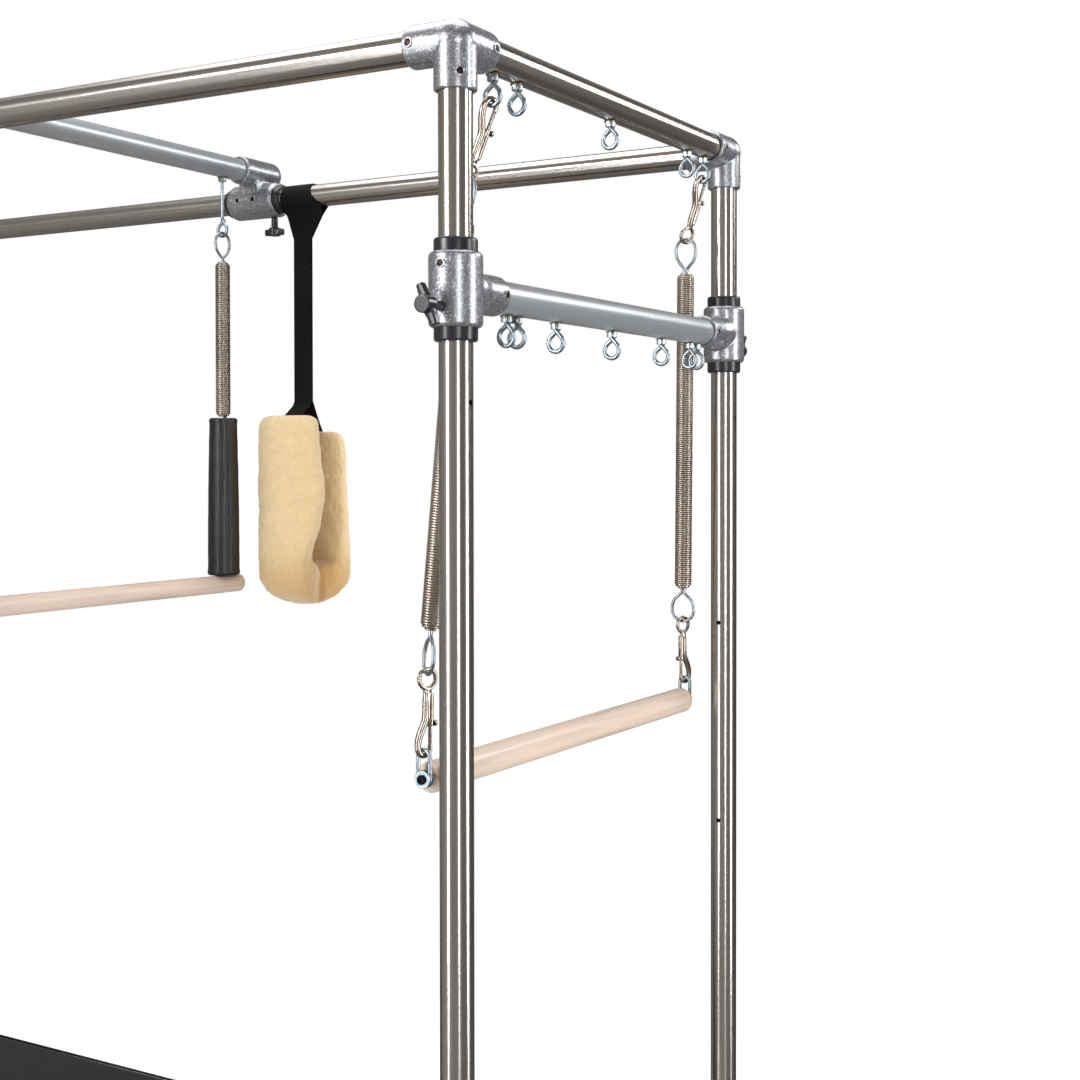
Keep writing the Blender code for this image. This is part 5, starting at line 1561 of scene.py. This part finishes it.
class TRAPEZETABLE_OT_stage(bpy.types.Operator):
    """Add the floor, the lights and the camera"""
    bl_idname = "trapeze_table.stage"
    bl_label = "Stage"

    def execute(self, context):
        floor = bmesh.new()
        bmesh.ops.create_grid(floor, x_segments=8, y_segments=8, size=30)
        mesh = bpy.data.meshes.new("floor")
        floor.to_mesh(mesh)
        floor.free()
        ground = show("studio_floor", mesh, "floor", None)
        ground.visible_glossy = False
        ground.visible_shadow = False
        self.world(context)
        self.lights(context)
        self.camera(context)
        context.scene.view_settings.view_transform = "Standard"
        return {"FINISHED"}

    def world(self, context):
        """A white backdrop for the eye, and a much dimmer room for the metal to mirror."""
        world = bpy.data.worlds.new("studio")
        world.use_nodes = True
        tree = world.node_tree
        tree.nodes.clear()
        seen = add_node(tree, "ShaderNodeBackground", inputs={"Color": (1, 1, 1, 1), "Strength": 1.0})
        ray = add_node(tree, "ShaderNodeTexCoord").outputs["Generated"]
        inputs = {0: ray, 1: BRIGHT_SIDE}
        side = add_node(tree, "ShaderNodeVectorMath", {"operation": "DOT_PRODUCT"}, inputs).outputs["Value"]
        inputs = {"Value": side, "From Min": -1.0, "From Max": 1.0, "To Min": ROOM_STRENGTH[0],
                  "To Max": ROOM_STRENGTH[1]}
        strength = add_node(tree, "ShaderNodeMapRange", inputs=inputs).outputs["Result"]
        inputs = {"Color": (*linear(ROOM_COLOUR), 1), "Strength": strength}
        room = add_node(tree, "ShaderNodeBackground", inputs=inputs)
        path = add_node(tree, "ShaderNodeLightPath")
        inputs = {0: path.outputs["Is Camera Ray"], 1: room.outputs[0], 2: seen.outputs[0]}
        mixed = add_node(tree, "ShaderNodeMixShader", inputs=inputs)
        add_node(tree, "ShaderNodeOutputWorld", inputs={"Surface": mixed.outputs[0]})
        context.scene.world = world

    def lights(self, context):
        """Narrow tall strips for the tubes' long highlights, and a large soft one above."""
        target = Vector((POST_X, -POST_Y, LIGHTS_AIM_Z))
        towards = Vector(TO_CAMERA)
        right = Vector((-TO_CAMERA[1], TO_CAMERA[0], 0))
        # Name, degrees round to the picture's right, rise, distance, width, height and power
        strips = (("left_strip", -58, 0.2, 2.6, 0.30, 2.6, 44), ("near_strip", 14, 0.2, 3.6, 0.28, 2.6, 46),
                  ("right_strip", 77, 0.2, 2.6, 0.42, 2.6, 46), ("rail_panel", -69, 1.5, 2.6, 0.6, 0.5, 26),
                  ("crossbar_panel", 115, 1.9, 3.4, 1.2, 0.9, 40))
        for name, degrees, rise, distance, width, height, power in strips:
            angle = math.radians(degrees)
            direction = towards * math.cos(angle) + right * math.sin(angle)
            place = target + direction * distance + Vector((0, 0, rise))
            self.area(context, name, place, target, width, height, power)
        self.area(context, "top_panel", Vector((0.4, 0.3, 4.4)), Vector((0.4, 0.3, 0)), 3.4, 2.4, 90)

    def area(self, context, name, at, target, width, height, power):
        data = bpy.data.lights.new(name, "AREA")
        data.shape = "RECTANGLE"
        data.size = width
        data.size_y = height
        data.energy = power
        lamp = bpy.data.objects.new(name, data)
        context.collection.objects.link(lamp)
        lamp.location = at
        lamp.rotation_euler = (target - at).to_track_quat("-Z", "Y").to_euler()
        lamp.visible_camera = False

    def camera(self, context):
        """The photograph's own viewpoint, fitted to the canopy's edges."""
        data = bpy.data.cameras.new("photo_camera")
        data.sensor_width = SENSOR_MM
        data.lens = SENSOR_MM * CAMERA_FOCAL_PX / PHOTO_PX
        data.shift_x = (PHOTO_PX / 2 - CAMERA_CENTRE_PX[0]) / PHOTO_PX
        data.shift_y = (CAMERA_CENTRE_PX[1] - PHOTO_PX / 2) / PHOTO_PX
        data.clip_end = 100
        camera = bpy.data.objects.new("photo_camera", data)
        context.collection.objects.link(camera)
        yaw, pitch, roll = (math.radians(value) for value in (CAMERA_YAW, CAMERA_PITCH, CAMERA_ROLL))
        turn = Matrix.Rotation(yaw, 3, "Z") @ Matrix.Rotation(math.pi / 2 - pitch, 3, "X")
        turn = turn @ Matrix.Rotation(roll, 3, "Z")
        camera.matrix_world = placed(CAMERA_PLACE, turn)
        context.scene.camera = camera


OPERATORS = (TRAPEZETABLE_OT_stage, TRAPEZETABLE_OT_canopy, TRAPEZETABLE_OT_table, TRAPEZETABLE_OT_crossbar,
             TRAPEZETABLE_OT_roll_down, TRAPEZETABLE_OT_slider, TRAPEZETABLE_OT_trapeze,
             TRAPEZETABLE_OT_sling)


class TRAPEZETABLE_PT_panel(bpy.types.Panel):
    """Lists the pieces of the trapeze table and their sizes and colours"""
    bl_label = "Trapeze table"
    bl_idname = "TRAPEZETABLE_PT_panel"
    bl_space_type = "VIEW_3D"
    bl_region_type = "UI"
    bl_category = "Trapeze table"

    def draw(self, context):
        for operator in OPERATORS:
            self.layout.operator(operator.bl_idname)
        for group in (context.scene.trapeze_table_sizes, context.scene.trapeze_table_colours):
            column = self.layout.column()
            for name in group.__annotations__:
                column.prop(group, name)


CLASSES = (TrapezeTableSizes, TrapezeTableColours, *OPERATORS, TRAPEZETABLE_PT_panel)


def register():
    for entry in CLASSES:
        bpy.utils.register_class(entry)
    bpy.types.Scene.trapeze_table_sizes = bpy.props.PointerProperty(type=TrapezeTableSizes)
    bpy.types.Scene.trapeze_table_colours = bpy.props.PointerProperty(type=TrapezeTableColours)


def unregister():
    del bpy.types.Scene.trapeze_table_colours
    del bpy.types.Scene.trapeze_table_sizes
    for entry in reversed(CLASSES):
        bpy.utils.unregister_class(entry)


def main():
    register()
    for operator in OPERATORS:
        group, name = operator.bl_idname.split(".")
        getattr(getattr(bpy.ops, group), name)()


if __name__ == "__main__":
    main()
